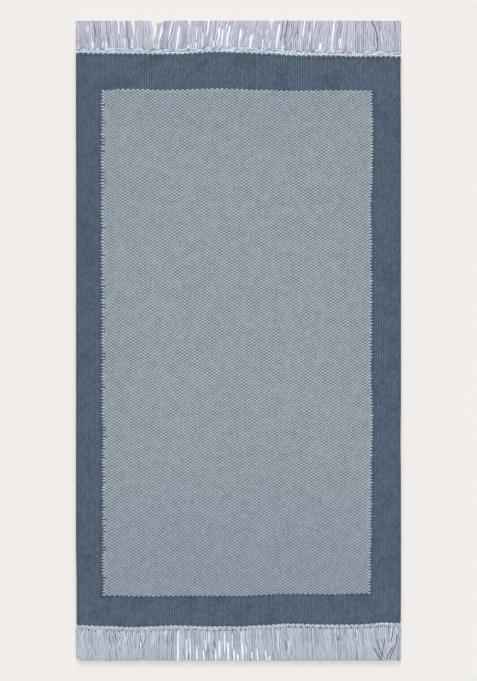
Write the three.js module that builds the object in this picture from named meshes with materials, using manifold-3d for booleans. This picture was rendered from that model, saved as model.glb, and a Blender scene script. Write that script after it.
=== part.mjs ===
// Flat-woven rug: a plain field inside a wide plain border, woven as one cloth with a cord along
// each selvedge, a row of knots at both ends and the warp ends left as a fringe.
//
// Millimetres. +X runs across the rug, +Y along the warp to the far end, +Z up. The origin lies on
// the floor under the middle. "Reach" is a distance from the middle towards one end of the rug.

import * as THREE from 'three';
import Module from 'manifold-3d';
import { mergeVertices } from 'three/addons/utils/BufferGeometryUtils.js';

const wasm = await Module();
wasm.setup();

// ---------------------------------------------------------------- driving dimensions

const RUG_WIDTH = 700;
const RUG_LENGTH = 1380; // from fringe tip to fringe tip
const HALF_WIDTH = RUG_WIDTH / 2;
const HALF_LENGTH = RUG_LENGTH / 2;

const CLOTH_THICKNESS = 6;
const CLOTH_EDGE_ROUNDING = 1.2;

const SELVEDGE_WIDTH = 6.6;
const SELVEDGE_HEIGHT = 6.8;
const SELVEDGE_COVER = 1.6; // the flat cloth stops this far inside the cord's outer side
const SELVEDGE_STEPS = 18;

const KNOTS = 52; // knots in each heading, and bundles of strands in each fringe
const KNOT_PITCH = RUG_WIDTH / KNOTS;
const KNOT_HEIGHT = 7;
const KNOT_WAIST_HEIGHT = 5.6; // between two knots
const KNOT_SWELL = 0.9; // how much further out a knot reaches than the waist beside it
const KNOT_EDGE_ROUNDING = 1.8;

const STRAND_THICKNESS = 4;
const COMB_SPINE = 4; // the closed strip from which the bundles leave
const BUNDLE_SLIT = 1.1; // between two bundles at the spine
const BUNDLE_SLIT_SPREAD = 0.7; // how much wider that slit is at the tips
const BUNDLE_STEPS = 3;
const GAP_FADE = 26; // how fast bundles beside a gap fall back into line, across the rug

const SEAM = 0.3; // clearance between two neighbouring pieces

// ---------------------------------------------------------------- the rug's own unevenness

// Reach of the last weft at each end, as the beater left it.
const FAR_CLOTH_END = [
  { across: -350, reach: 619.5 },
  { across: -280, reach: 618.4 },
  { across: -130, reach: 617.4 },
  { across: -50, reach: 622.0 },
  { across: 10, reach: 620.4 },
  { across: 60, reach: 617.9 },
  { across: 130, reach: 613.8 },
  { across: 210, reach: 613.6 },
  { across: 245, reach: 612.0 },
  { across: 315, reach: 612.2 },
  { across: 350, reach: 610.4 },
];
const NEAR_CLOTH_END = [
  { across: -350, reach: 613.0 },
  { across: -285, reach: 615.2 },
  { across: -230, reach: 617.2 },
  { across: -130, reach: 613.8 },
  { across: -70, reach: 615.8 },
  { across: 5, reach: 615.9 },
  { across: 55, reach: 613.2 },
  { across: 105, reach: 610.1 },
  { across: 210, reach: 612.1 },
  { across: 262, reach: 611.8 },
  { across: 315, reach: 607.6 },
  { across: 350, reach: 609.0 },
];

// Reach of the line where the knots end, a seam short of it, and the strands start.
const FAR_STRAND_ROOTS = [
  { across: -350, reach: 631.0 },
  { across: -50, reach: 631.5 },
  { across: 150, reach: 627.5 },
  { across: 350, reach: 625.5 },
];
const NEAR_STRAND_ROOTS = [
  { across: -350, reach: 627.0 },
  { across: 0, reach: 627.5 },
  { across: 100, reach: 624.0 },
  { across: 350, reach: 622.5 },
];

// How far each selvedge lies inside the full width.
const LEFT_SELVEDGE = [
  { along: -620, inset: 1.3 },
  { along: -530, inset: 1.2 },
  { along: -430, inset: 0 },
  { along: 220, inset: 0.3 },
  { along: 620, inset: 0 },
];
const RIGHT_SELVEDGE = [
  { along: -620, inset: 0.6 },
  { along: -520, inset: 0 },
  { along: -300, inset: 0.1 },
  { along: -210, inset: 0.8 },
  { along: -120, inset: 0 },
  { along: 450, inset: 0.1 },
  { along: 575, inset: 0.7 },
  { along: 620, inset: 0.4 },
];

// How far to the right the strands' tips lie of their roots.
const FAR_LEAN = [
  { across: -350, lean: 0 },
  { across: -290, lean: -1 },
  { across: -205, lean: -4 },
  { across: -185, lean: -5 },
  { across: -165, lean: 9 },
  { across: -90, lean: 7 },
  { across: 20, lean: 10 },
  { across: 120, lean: 9 },
  { across: 200, lean: 7 },
  { across: 270, lean: 0 },
  { across: 300, lean: -5 },
  { across: 350, lean: 0 },
];
const NEAR_LEAN = [
  { across: -350, lean: 0 },
  { across: -300, lean: 4 },
  { across: -230, lean: -3 },
  { across: -130, lean: 0 },
  { across: -20, lean: 2 },
  { across: 20, lean: 5 },
  { across: 150, lean: 3 },
  { across: 280, lean: 7 },
  { across: 315, lean: 4 },
  { across: 335, lean: -5 },
  { across: 350, lean: -1 },
];

// Where the strands part. afterKnot counts knots from the left, opening is the gap at the tips,
// and starts is how far down the strands the gap begins, from 0 at the knots to 1 at the tips.
const FAR_GAPS = [
  { afterKnot: 7, opening: 3, starts: 0.3 },
  { afterKnot: 9, opening: 8, starts: 0.2 },
  { afterKnot: 13, opening: 13, starts: 0.2 },
  { afterKnot: 18, opening: 5, starts: 0.45 },
  { afterKnot: 21, opening: 5, starts: 0.4 },
  { afterKnot: 24, opening: 3, starts: 0.05 },
  { afterKnot: 31, opening: 9, starts: 0.6 },
  { afterKnot: 37, opening: 3, starts: 0.3 },
];
const NEAR_GAPS = [
  { afterKnot: 11, opening: 2, starts: 0.5 },
  { afterKnot: 16, opening: 4, starts: 0 },
  { afterKnot: 18, opening: 3, starts: 0.3 },
  { afterKnot: 20, opening: 3, starts: 0.5 },
  { afterKnot: 23, opening: 4, starts: 0.2 },
  { afterKnot: 25, opening: 5, starts: 0.2 },
  { afterKnot: 27, opening: 5, starts: 0.6 },
  { afterKnot: 31, opening: 4, starts: 0.7 },
];

// Bundles cut short of the square end, counted from the left.
const FAR_SHORT_BUNDLES = [
  { bundle: 12, short: 3 },
  { bundle: 13, short: 4 },
];
const NEAR_SHORT_BUNDLES = [
  { bundle: 0, short: 5 },
  { bundle: 27, short: 1 },
];

// toFarEnd is 1 or -1: the sign of Y at that end.
const FAR = {
  toFarEnd: 1,
  clothEnd: FAR_CLOTH_END,
  strandRoots: FAR_STRAND_ROOTS,
  leans: FAR_LEAN,
  gaps: FAR_GAPS,
  shortBundles: FAR_SHORT_BUNDLES,
};
const NEAR = {
  toFarEnd: -1,
  clothEnd: NEAR_CLOTH_END,
  strandRoots: NEAR_STRAND_ROOTS,
  leans: NEAR_LEAN,
  gaps: NEAR_GAPS,
  shortBundles: NEAR_SHORT_BUNDLES,
};

// ---------------------------------------------------------------- finishes

const clothFinish = new THREE.MeshStandardMaterial({
  name: 'field_yarn', color: '#939ca4', roughness: 0.95, metalness: 0,
});
const fringeFinish = new THREE.MeshStandardMaterial({
  name: 'fringe_yarn', color: '#b8bfcb', roughness: 0.9, metalness: 0,
});
const headingFinish = new THREE.MeshStandardMaterial({
  name: 'heading_yarn', color: '#bec7d2', roughness: 0.9, metalness: 0,
});

// ---------------------------------------------------------------- reading the tables

// Eases from 0 to 1 as share does, and stays there beyond.
function eased(share) {
  const s = THREE.MathUtils.clamp(share, 0, 1);
  return s * s * (3 - 2 * s);
}

// The value of a table's column at a place between its rows, which are in order of where.
function between(rows, where, column, place) {
  const next = rows.findIndex((row) => row[where] >= place);
  if (next < 0) return rows.at(-1)[column];
  if (next === 0) return rows[0][column];
  const [a, b] = [rows[next - 1], rows[next]];
  const share = eased((place - a[where]) / (b[where] - a[where]));
  return THREE.MathUtils.lerp(a[column], b[column], share);
}

function clothReach(end, across) {
  return between(end.clothEnd, 'across', 'reach', across);
}

function rootReach(end, across) {
  return between(end.strandRoots, 'across', 'reach', across);
}

function leftSide(y) {
  return -HALF_WIDTH + between(LEFT_SELVEDGE, 'along', 'inset', y);
}

function rightSide(y) {
  return HALF_WIDTH - between(RIGHT_SELVEDGE, 'along', 'inset', y);
}

// Where the middle of each knot and each waist beside it lies, from the left edge to the right.
function knotStations() {
  const stations = [];
  for (let half = 0; half <= 2 * KNOTS; half += 1) {
    stations.push({ across: -HALF_WIDTH + (half * KNOT_PITCH) / 2, isKnot: half % 2 === 1 });
  }
  return stations;
}

// ---------------------------------------------------------------- shaping

// A closed body through rings of the same number of points, with flat ends.
function loft(rings) {
  const points = rings.flat();
  const around = rings[0].length;
  const faces = [];
  for (let r = 0; r + 1 < rings.length; r += 1) {
    for (let i = 0; i < around; i += 1) {
      const [a, b] = [r * around + i, r * around + ((i + 1) % around)];
      faces.push(a, b, b + around, a, b + around, a + around);
    }
  }
  const last = (rings.length - 1) * around;
  for (let i = 1; i + 1 < around; i += 1) {
    faces.push(0, i + 1, i, last, last + i, last + i + 1);
  }
  const geometry = new THREE.BufferGeometry().setFromPoints(points);
  geometry.setIndex(faces);
  return geometry;
}

// A closed geometry as a solid that can be joined to another.
function solidOf(geometry) {
  const bare = geometry.clone();
  bare.deleteAttribute('normal');
  bare.deleteAttribute('uv');
  const merged = mergeVertices(bare, 1e-4);
  return new wasm.Manifold(new wasm.Mesh({
    numProp: 3,
    vertProperties: merged.attributes.position.array,
    triVerts: new Uint32Array(merged.index.array),
  }));
}

function geometryOf(solid) {
  const { vertProperties, triVerts } = solid.getMesh();
  const geometry = new THREE.BufferGeometry();
  geometry.setAttribute('position', new THREE.BufferAttribute(vertProperties, 3));
  geometry.setIndex(new THREE.BufferAttribute(triVerts, 1));
  return geometry;
}

function named(name, geometry, finish) {
  geometry.computeVertexNormals();
  const mesh = new THREE.Mesh(geometry, finish);
  mesh.name = name;
  return mesh;
}

// ---------------------------------------------------------------- woven cloth

// The cloth between its selvedge cords: a flat slab with the loom's own outline.
function flatCloth() {
  const outline = [];
  const across = (station) => THREE.MathUtils.clamp(
    station.across,
    leftSide(0) + SELVEDGE_COVER,
    rightSide(0) - SELVEDGE_COVER,
  );
  for (const station of knotStations()) {
    outline.push(new THREE.Vector2(across(station), clothReach(FAR, station.across)));
  }
  const sideRows = [...Array(SELVEDGE_STEPS - 1).keys()].map((i) => {
    const share = (i + 1) / SELVEDGE_STEPS;
    return THREE.MathUtils.lerp(clothReach(FAR, HALF_WIDTH), -clothReach(NEAR, HALF_WIDTH), share);
  });
  for (const y of sideRows) {
    outline.push(new THREE.Vector2(rightSide(y) - SELVEDGE_COVER, y));
  }
  for (const station of knotStations().reverse()) {
    outline.push(new THREE.Vector2(across(station), -clothReach(NEAR, station.across)));
  }
  for (const y of sideRows.reverse()) {
    outline.push(new THREE.Vector2(leftSide(y) + SELVEDGE_COVER, y));
  }
  const slab = new THREE.ExtrudeGeometry(new THREE.Shape(outline), {
    depth: CLOTH_THICKNESS - 2 * CLOTH_EDGE_ROUNDING,
    bevelEnabled: true,
    bevelThickness: CLOTH_EDGE_ROUNDING,
    bevelSize: CLOTH_EDGE_ROUNDING,
    bevelOffset: -CLOTH_EDGE_ROUNDING,
    bevelSegments: 1,
  });
  return slab.translate(0, 0, CLOTH_EDGE_ROUNDING);
}

// The cord along one selvedge, flat below where it rests. toRight is 1 or -1: the sign of X there.
function selvedgeCord(toRight) {
  const side = (y) => (toRight > 0 ? rightSide(y) : leftSide(y));
  const [halfWide, halfHigh] = [SELVEDGE_WIDTH / 2, SELVEDGE_HEIGHT / 2];
  const rings = [];
  for (let i = 0; i <= SELVEDGE_STEPS; i += 1) {
    const edge = toRight * HALF_WIDTH;
    const y = THREE.MathUtils.lerp(
      -clothReach(NEAR, edge) + CLOTH_EDGE_ROUNDING / 2,
      clothReach(FAR, edge) - CLOTH_EDGE_ROUNDING / 2,
      i / SELVEDGE_STEPS,
    );
    const middle = side(y) - toRight * halfWide;
    const ring = [];
    for (let corner = 0; corner < 8; corner += 1) {
      const angle = ((corner + 0.5) * Math.PI) / 4;
      const grow = 1 / Math.cos(Math.PI / 8);
      ring.push(new THREE.Vector3(
        middle + halfWide * grow * Math.cos(angle),
        y,
        halfHigh + halfHigh * grow * Math.sin(angle),
      ));
    }
    rings.push(ring.reverse());
  }
  return loft(rings);
}

function wovenCloth() {
  const cloth = solidOf(flatCloth())
    .add(solidOf(selvedgeCord(-1)))
    .add(solidOf(selvedgeCord(1)));
  return named('woven_cloth', geometryOf(cloth), clothFinish);
}

// ---------------------------------------------------------------- headings and fringes

// The row of knots between the last weft and the strands, swelling at every knot.
function heading(name, end) {
  const rings = knotStations().map(({ across, isKnot }) => {
    const swell = isKnot ? KNOT_SWELL : 0;
    const inner = clothReach(end, across) + SEAM + KNOT_SWELL - swell;
    const outer = rootReach(end, across) - SEAM - KNOT_SWELL + swell;
    const top = isKnot ? KNOT_HEIGHT : KNOT_WAIST_HEIGHT;
    const round = KNOT_EDGE_ROUNDING;
    const section = [
      { reach: inner, height: round },
      { reach: inner, height: top - round },
      { reach: inner + round, height: top },
      { reach: outer - round, height: top },
      { reach: outer, height: top - round },
      { reach: outer, height: round },
      { reach: outer - round, height: 0 },
      { reach: inner + round, height: 0 },
    ];
    return section.map((p) => new THREE.Vector3(across, end.toFarEnd * p.reach, p.height));
  });
  for (const ring of rings) {
    if (end.toFarEnd > 0) ring.reverse();
  }
  return named(name, loft(rings), headingFinish);
}

// Where a strand that leaves its knot at root lies across the rug, some share of the way down.
function strandAcross(end, root, share) {
  let across = root + between(end.leans, 'across', 'lean', root) * share ** 1.3;
  for (const gap of end.gaps) {
    const offset = root - (-HALF_WIDTH + gap.afterKnot * KNOT_PITCH);
    const opened = gap.opening * eased((share - gap.starts) / (1 - gap.starts));
    across += (Math.sign(offset) * opened * Math.exp(-Math.abs(offset) / GAP_FADE)) / 2;
  }
  return across;
}

// One side of a bundle, from the spine to its tip. toRight is 1 or -1: which side of the bundle.
function bundleSide(end, boundary, toRight, tip) {
  const outermost = Math.abs(boundary) > HALF_WIDTH - SEAM;
  const steps = outermost ? [BUNDLE_STEPS] : [...Array(BUNDLE_STEPS + 1).keys()];
  return steps.map((step) => {
    const share = step / BUNDLE_STEPS;
    const root = boundary - (toRight * (BUNDLE_SLIT + BUNDLE_SLIT_SPREAD * share)) / 2;
    const spine = rootReach(end, root) + COMB_SPINE;
    return {
      across: outermost ? boundary : strandAcross(end, root, share),
      reach: THREE.MathUtils.lerp(spine, tip, share),
    };
  });
}

// One bundle's outline, from its right side at the spine round its tip to its left side.
function bundleOutline(end, bundle) {
  const left = -HALF_WIDTH + bundle * KNOT_PITCH;
  const cut = end.shortBundles.find((row) => row.bundle === bundle);
  const tip = HALF_LENGTH - (cut ? cut.short : 0);
  return [
    ...bundleSide(end, left + KNOT_PITCH, 1, tip),
    ...bundleSide(end, left, -1, tip).reverse(),
  ];
}

// One comb: a closed spine beside the knots, and a bundle of strands from every knot.
function fringe(name, end) {
  const outline = knotStations()
    .filter((station) => !station.isKnot)
    .map(({ across }) => ({ across, reach: rootReach(end, across) }));
  for (let bundle = KNOTS - 1; bundle >= 0; bundle -= 1) {
    outline.push(...bundleOutline(end, bundle));
  }
  const corners = outline.map((p) => new THREE.Vector2(p.across, end.toFarEnd * p.reach));
  const comb = new THREE.ExtrudeGeometry(new THREE.Shape(corners), {
    depth: STRAND_THICKNESS,
    bevelEnabled: false,
  });
  return named(name, comb, fringeFinish);
}

// ---------------------------------------------------------------- the rug

const rug = new THREE.Group();
rug.add(
  wovenCloth(),
  heading('heading_far', FAR),
  heading('heading_near', NEAR),
  fringe('fringe_far', FAR),
  fringe('fringe_near', NEAR),
);

export default rug;
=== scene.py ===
"""A kilim rug: a weft-faced cloth of pale field and dark border, with knotted headings and fringes.

The cloth lies on one lattice of ribs (across) and picks (along). Every bead of the weave is one
float of yarn over one rib, and neighbouring ribs are half a bead out of step, as bricks are. The
field, the border and the two headings each cover whole beads of that lattice, so that they
interlock where they meet. Sizes are in millimetres until a mesh is made, and in metres in the
finishes and the studio, in the frame's own axes: +X across, +Y along to the far end, +Z up.
"""

from __future__ import annotations

import logging
import math
from dataclasses import dataclass, field
from enum import Enum
from typing import NamedTuple, Sequence, Union

import bpy
import numpy as np
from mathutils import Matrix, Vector

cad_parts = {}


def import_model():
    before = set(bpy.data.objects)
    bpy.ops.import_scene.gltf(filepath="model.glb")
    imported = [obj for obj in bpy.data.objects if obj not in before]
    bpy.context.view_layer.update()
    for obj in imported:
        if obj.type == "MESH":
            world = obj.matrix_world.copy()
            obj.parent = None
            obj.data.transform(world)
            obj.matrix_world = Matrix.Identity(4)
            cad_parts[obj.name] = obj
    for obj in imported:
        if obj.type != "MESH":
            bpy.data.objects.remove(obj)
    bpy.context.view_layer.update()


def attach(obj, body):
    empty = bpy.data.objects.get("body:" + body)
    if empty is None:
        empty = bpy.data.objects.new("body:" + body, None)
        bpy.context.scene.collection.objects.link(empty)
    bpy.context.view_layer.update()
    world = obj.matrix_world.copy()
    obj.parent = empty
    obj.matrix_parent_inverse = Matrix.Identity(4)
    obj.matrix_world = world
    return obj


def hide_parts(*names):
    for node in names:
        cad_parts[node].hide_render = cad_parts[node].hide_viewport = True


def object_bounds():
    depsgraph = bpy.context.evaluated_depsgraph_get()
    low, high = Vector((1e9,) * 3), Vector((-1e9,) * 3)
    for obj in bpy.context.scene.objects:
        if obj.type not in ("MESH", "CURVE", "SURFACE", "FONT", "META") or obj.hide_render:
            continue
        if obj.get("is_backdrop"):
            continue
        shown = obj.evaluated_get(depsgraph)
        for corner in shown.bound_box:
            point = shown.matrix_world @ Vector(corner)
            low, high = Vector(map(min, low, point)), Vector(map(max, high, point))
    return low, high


MM = 0.001

# The names of what a mesh carries from the lattice and the strands to its yarn.
WEAVE_MAP = "weave"
PLACE = "weave_place"
GIRTH = "girth"
TONE = "tone"
ALONG = "along"
SLANT = "slant"
LOOP = "loop_size"
RING = "ring"
REACH = "reach"

# A ripple is the mean of a few waves: how many, the shortest one's length and the step between
# two, as shares of the ripple's own length.
RIPPLE_WAVES = 4
RIPPLE_SHORTEST = 0.7
RIPPLE_STEP = 0.31

# How full a bead is on the plain back, and a stride from rib to rib that numbers every bead.
BACK_BEAD = 0.6
RIB_STRIDE = 1009.0

BUMP_STRENGTH = 0.6

LOG = logging.getLogger("rug")

# A span is two numbers, such as the start and stop of a step or the least and most of a chance. What
# is laid is a chain's points in millimetres, with the girth, tone and share along it.
Colour = tuple[float, float, float]
Span = tuple[float, float]
Laid = tuple[np.ndarray, dict[str, np.ndarray]]
Socket = bpy.types.NodeSocket
Feed = Union[float, int, bool, str, Sequence[float], Socket, bpy.types.ID]


class End(Enum):
    """The two short ends of the rug, by their side of the frame's X axis."""

    FAR = 1
    NEAR = -1


class Edge(Enum):
    """The two long edges of the rug, by their side of the frame's Y axis."""

    LEFT = -1
    RIGHT = 1


class Mark(NamedTuple):
    """One row of a line's table: the value that the line has at a place, in millimetres."""

    place: float
    value: float


class Gap(NamedTuple):
    """One parting in a fringe, between two knots."""

    after_knot: float
    opening: float
    starts: float


class Slit(NamedTuple):
    """A narrow opening between two strands, over some share of their length."""

    place: float
    opening: float
    starts: float
    stops: float


class Gather(NamedTuple):
    """A place in a fringe where the strands are drawn together towards their tips."""

    place: float
    pull: float
    width: float


class Short(NamedTuple):
    """A few strands that end early, across a stretch of the fringe."""

    place: float
    width: float
    short: float


class LoopStyle(NamedTuple):
    """One row of loops along a heading: how they lie and how big each is."""

    per_knot: int
    offset: float
    reach: float
    height: float
    half_width: float
    half_length: float
    half_height: float
    slant_deg: float
    low_tone: float
    high_tone: float
    stray: float = 0.5

    @property
    def is_hollow_shade(self) -> bool:
        """Whether the row is made of the dark blobs of painted shade in the hollows between knots."""
        return self.high_tone == 0.0


class Thread(NamedTuple):
    """A loose dark thread caught in a fringe, partly a painted shadow line between strands: shares of
    the way to the tip, and places across.
    """

    shares: tuple[float, ...]
    places: tuple[float, ...]


# How far out the cloth reaches at each end, by the place across.
CLOTH_END = {
    End.FAR: (
        Mark(-350, 619.5), Mark(-280, 618.4), Mark(-130, 617.4), Mark(-50, 622.0), Mark(10, 620.4),
        Mark(60, 617.9), Mark(130, 613.8), Mark(210, 613.6), Mark(245, 612.0), Mark(315, 612.2),
        Mark(350, 610.4),
    ),
    End.NEAR: (
        Mark(-350, 613.0), Mark(-285, 615.2), Mark(-230, 617.2), Mark(-130, 613.8), Mark(-70, 615.8),
        Mark(5, 615.9), Mark(55, 613.2), Mark(105, 610.1), Mark(210, 612.1), Mark(262, 611.8),
        Mark(315, 607.6), Mark(350, 609.0),
    ),
}
# How far out the field reaches at each end, by the place across.
FIELD_END = {
    End.FAR: (
        Mark(-291, 539.6), Mark(-272, 540.0), Mark(-262, 542.4), Mark(-205, 542.2),
        Mark(-153, 540.4), Mark(-49, 543.6), Mark(55, 540.7), Mark(107, 538.8), Mark(211, 540.1),
        Mark(288, 539.3),
    ),
    End.NEAR: (
        Mark(-291, 549.6), Mark(-204, 551.5), Mark(-100, 550.7), Mark(3, 550.8), Mark(107, 546.7),
        Mark(211, 547.2), Mark(285, 545.3),
    ),
}
# Where the field's sides run across, by the place along.
FIELD_SIDE = {
    Edge.LEFT: (
        Mark(-550, -291.3), Mark(-480, -292.4), Mark(-410, -291.8), Mark(-215, -291.8),
        Mark(-85, -293.3), Mark(370, -294.9), Mark(545, -294.2),
    ),
    Edge.RIGHT: (
        Mark(-550, 284.1), Mark(-300, 286.3), Mark(-150, 288.0), Mark(-85, 285.8), Mark(150, 286.8),
        Mark(304, 285.2), Mark(370, 288.1), Mark(434, 289.1), Mark(545, 287.4),
    ),
}
# How far the long edges are drawn in from the full width, by the place along.
SIDE_INSET = {
    Edge.LEFT: (
        Mark(-620, 1.3), Mark(-530, 1.2), Mark(-430, 0.0), Mark(220, 0.3), Mark(620, 0.0),
    ),
    Edge.RIGHT: (
        Mark(-620, 0.6), Mark(-520, 0.0), Mark(-300, 0.1), Mark(-210, 0.8), Mark(-120, 0.0),
        Mark(450, 0.1), Mark(575, 0.7), Mark(620, 0.4),
    ),
}
# How far aside of its root each strand's tip lies, by the root's place across.
LEAN = {
    End.FAR: (
        Mark(-350, 0), Mark(-290, -1), Mark(-205, -4), Mark(-181, -4), Mark(-178, 8),
        Mark(-165, 14), Mark(-150, 14), Mark(-130, 8), Mark(-90, 6), Mark(-45, 8), Mark(20, 11),
        Mark(120, 9), Mark(200, 7), Mark(270, 0), Mark(300, -8), Mark(325, -3), Mark(350, 0),
    ),
    End.NEAR: (
        Mark(-350, 0), Mark(-300, 4), Mark(-230, -3), Mark(-130, 0), Mark(-20, 2), Mark(20, 5),
        Mark(150, 3), Mark(280, 7), Mark(315, 4), Mark(332, -5), Mark(343, -3), Mark(350, 0),
    ),
}
# The wider partings in each fringe, at a count of knots from the left.
GAPS = {
    End.FAR: (
        Gap(7, 1, 0.3), Gap(9.45, 8, 0.3), Gap(12.65, 4, 0.2), Gap(24, 1, 0.05), Gap(37, 1, 0.3),
    ),
    End.NEAR: (
        Gap(11, 1, 0.5), Gap(18, 1, 0.3), Gap(25, 1, 0.2), Gap(31, 1, 0.7),
    ),
}
# The narrow openings in each fringe, in which a pale thread shows with a painted highlight.
SLITS = {
    End.FAR: (
        Slit(-325, 1.3, 0.55, 0.9), Slit(-314, 1.7, 0.0, 0.3), Slit(-286, 1.5, 0.0, 0.35),
        Slit(-274, 1.9, 0.5, 1.3), Slit(-259, 2.5, 0.55, 1.5), Slit(-246, 1.9, 0.6, 1.4),
        Slit(-245, 1.5, 0.05, 0.45), Slit(-230, 2.0, 0.0, 0.45), Slit(-168, 2.3, 0.0, 1.1),
        Slit(-146, 2.2, 0.25, 1.2), Slit(-131, 2.6, 0.0, 0.9), Slit(-108, 1.4, 0.0, 0.2),
        Slit(-107, 3.7, 0.5, 1.25), Slit(-92, 1.7, 0.0, 0.25), Slit(-90, 1.7, 0.3, 0.8),
        Slit(-78, 1.5, 0.0, 0.65), Slit(-65, 3.1, 0.4, 1.3), Slit(-53, 1.5, 0.0, 0.4),
        Slit(-42, 2.5, 0.2, 0.85), Slit(-35, 2.3, 0.1, 0.85), Slit(-26, 1.7, 0.5, 0.95),
        Slit(-23, 2.6, 0.0, 0.8), Slit(4, 2.7, 0.05, 0.95), Slit(16, 1.3, 0.6, 0.95),
        Slit(26, 2.6, 0.0, 0.55), Slit(48, 1.4, 0.5, 0.75), Slit(52, 1.7, 0.0, 0.4),
        Slit(63, 1.4, 0.5, 0.75), Slit(67, 1.7, 0.0, 0.4), Slit(72, 4.8, 0.65, 1.5),
        Slit(85, 2.7, 0.05, 0.95), Slit(95, 1.4, 0.0, 0.25), Slit(122, 1.4, 0.8, 1.3),
        Slit(141, 2.0, 0.3, 1.2), Slit(153, 1.7, 0.3, 0.65), Slit(163, 2.3, 0.45, 1.3),
        Slit(176, 2.3, 0.0, 0.3), Slit(204, 2.5, 0.0, 1.2), Slit(219, 2.0, 0.1, 0.5),
        Slit(264, 1.3, 0.5, 0.9), Slit(309, 1.3, 0.0, 0.8),
    ),
    End.NEAR: (
        Slit(-211, 1.7, 0.3, 0.6), Slit(-157, 1.5, 0.0, 0.2), Slit(-131, 2.5, 0.0, 1.3),
        Slit(-112, 1.9, 0.3, 1.3), Slit(-104, 1.7, 0.2, 1.2), Slit(-90, 2.0, 0.45, 1.2),
        Slit(-75, 1.9, 0.6, 1.3), Slit(-71, 1.7, 0.3, 0.7), Slit(-63, 1.7, 0.05, 0.45),
        Slit(-49, 2.0, 0.6, 1.3), Slit(-41, 2.5, 0.3, 0.95), Slit(-30, 2.2, 0.05, 0.9),
        Slit(-22, 2.6, 0.35, 1.2), Slit(-13, 1.4, 0.1, 0.7), Slit(-9, 1.9, 0.6, 1.1),
        Slit(-1, 2.3, 0.75, 1.4), Slit(8, 2.5, 0.0, 1.25), Slit(17, 1.5, 0.5, 0.8),
        Slit(29, 1.7, 0.7, 1.0), Slit(41, 2.0, 0.5, 1.2), Slit(60, 2.0, 0.65, 1.3),
        Slit(67, 2.0, 0.7, 1.4), Slit(86, 1.3, 0.0, 0.85), Slit(109, 1.3, 0.3, 0.9),
    ),
}
# Where strands are drawn together, and where a few end early.
GATHERS = {
    End.FAR: (Gather(-200, 6, 20),),
    End.NEAR: (Gather(-248, 5, 22), Gather(314, 24, 26)),
}
SHORTS = {
    End.FAR: (Short(-188, 7, 3), Short(-180, 8, 4)),
    End.NEAR: (Short(-347, 8, 5), Short(20, 8, 1)),
}
# How untidily strands stray from their neighbours' course, by the place across.
TANGLE = {
    End.FAR: (
        Mark(-350, 1.5), Mark(-240, 2.0), Mark(-215, 3.5), Mark(-195, 3.0), Mark(-182, 0.8),
        Mark(-168, 0.8), Mark(-150, 2.0), Mark(210, 2.5), Mark(250, 1.2), Mark(310, 1.5),
        Mark(325, 4.0), Mark(350, 4.0),
    ),
    End.NEAR: (
        Mark(-350, 2.5), Mark(-240, 3.4), Mark(-215, 2.0), Mark(-140, 1.0), Mark(-120, 2.2),
        Mark(60, 2.5), Mark(90, 1.2), Mark(200, 2.5), Mark(290, 2.5), Mark(350, 1.0),
    ),
}
# How strongly neighbouring strands wave together, by the place across.
SWAY = {
    End.FAR: (
        Mark(-350, 0.3), Mark(-230, 0.5), Mark(-200, 1.0), Mark(-120, 0.8), Mark(100, 0.6),
        Mark(250, 0.4), Mark(350, 0.6),
    ),
    End.NEAR: (
        Mark(-350, 0.4), Mark(-320, 1.1), Mark(-250, 1.2), Mark(-215, 0.6), Mark(-130, 0.3),
        Mark(100, 0.4), Mark(200, 0.6), Mark(350, 0.3),
    ),
}
# The loose dark threads caught in each fringe, which partly stand in for painted shadow lines between
# strand groups.
THREADS = {
    End.FAR: (
        Thread((0.0, 0.22, 0.38, 0.64, 0.83, 1.0), (297.0, 300.0, 300.0, 297.6, 293.0, 287.0)),
        Thread((0.75, 0.85, 0.93, 1.0), (103.0, 104.0, 105.0, 106.0)),
        Thread((-0.04, 0.0, 0.03, 0.06), (101.0, 104.0, 106.0, 107.0)),
    ),
    End.NEAR: (
        Thread((0.3, 0.4, 0.5, 0.6), (-210.0, -208.0, -207.0, -206.0)),
        Thread((0.4, 0.5, 0.6, 0.7), (101.0, 102.0, 103.5, 104.0)),
        Thread((0.6, 0.75, 0.9, 0.98), (291.5, 297.0, 305.0, 308.0)),
        Thread((0.36, 0.55, 0.75, 0.9), (299.0, 302.0, 307.0, 310.5)),
        Thread((0.34, 0.55, 0.75, 0.9), (316.0, 313.0, 311.0, 310.5)),
        Thread((0.6, 0.7, 0.85, 0.96), (332.5, 328.0, 322.0, 319.0)),
        Thread((0.2, 0.5, 0.75, 0.96), (343.0, 340.0, 332.0, 325.0)),
        Thread((0.0, 0.15, 0.3, 0.45), (334.0, 333.0, 331.0, 328.0)),
    ),
}
# The rows of loops along each heading, out from the cloth, and then the dark blobs of painted shade in
# the hollows between knots.
# Loop tones past 1.2 take in the painted highlight colour.
LOOP_ROWS = {
    End.FAR: (
        LoopStyle(2, 0.0, 3.5, 4.1, 1.8, 5.2, 1.7, 66.0, 0.7, 1.0),
        LoopStyle(2, 0.5, 6.6, 4.0, 1.7, 5.6, 1.7, 70.0, 0.1, 0.35),
        LoopStyle(2, 0.25, 9.2, 3.5, 1.8, 5.0, 1.4, 72.0, 0.05, 0.3),
        LoopStyle(2, 0.5, 0.0, 4.4, 1.0, 1.8, 0.7, 30.0, 0.0, 0.0),
    ),
    End.NEAR: (
        LoopStyle(2, 0.0, 3.4, 4.0, 1.5, 3.8, 1.7, 48.0, 0.5, 1.4),
        LoopStyle(2, 0.25, 7.8, 3.6, 1.7, 4.0, 1.6, 34.0, 0.1, 0.8),
        LoopStyle(2, 0.5, 11.2, 3.1, 1.9, 3.9, 1.4, 12.0, 0.3, 1.3),
        LoopStyle(1, 0.5, -0.6, 4.7, 1.4, 2.3, 0.6, 32.0, 0.0, 0.0, 1.7),
    ),
}
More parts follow.
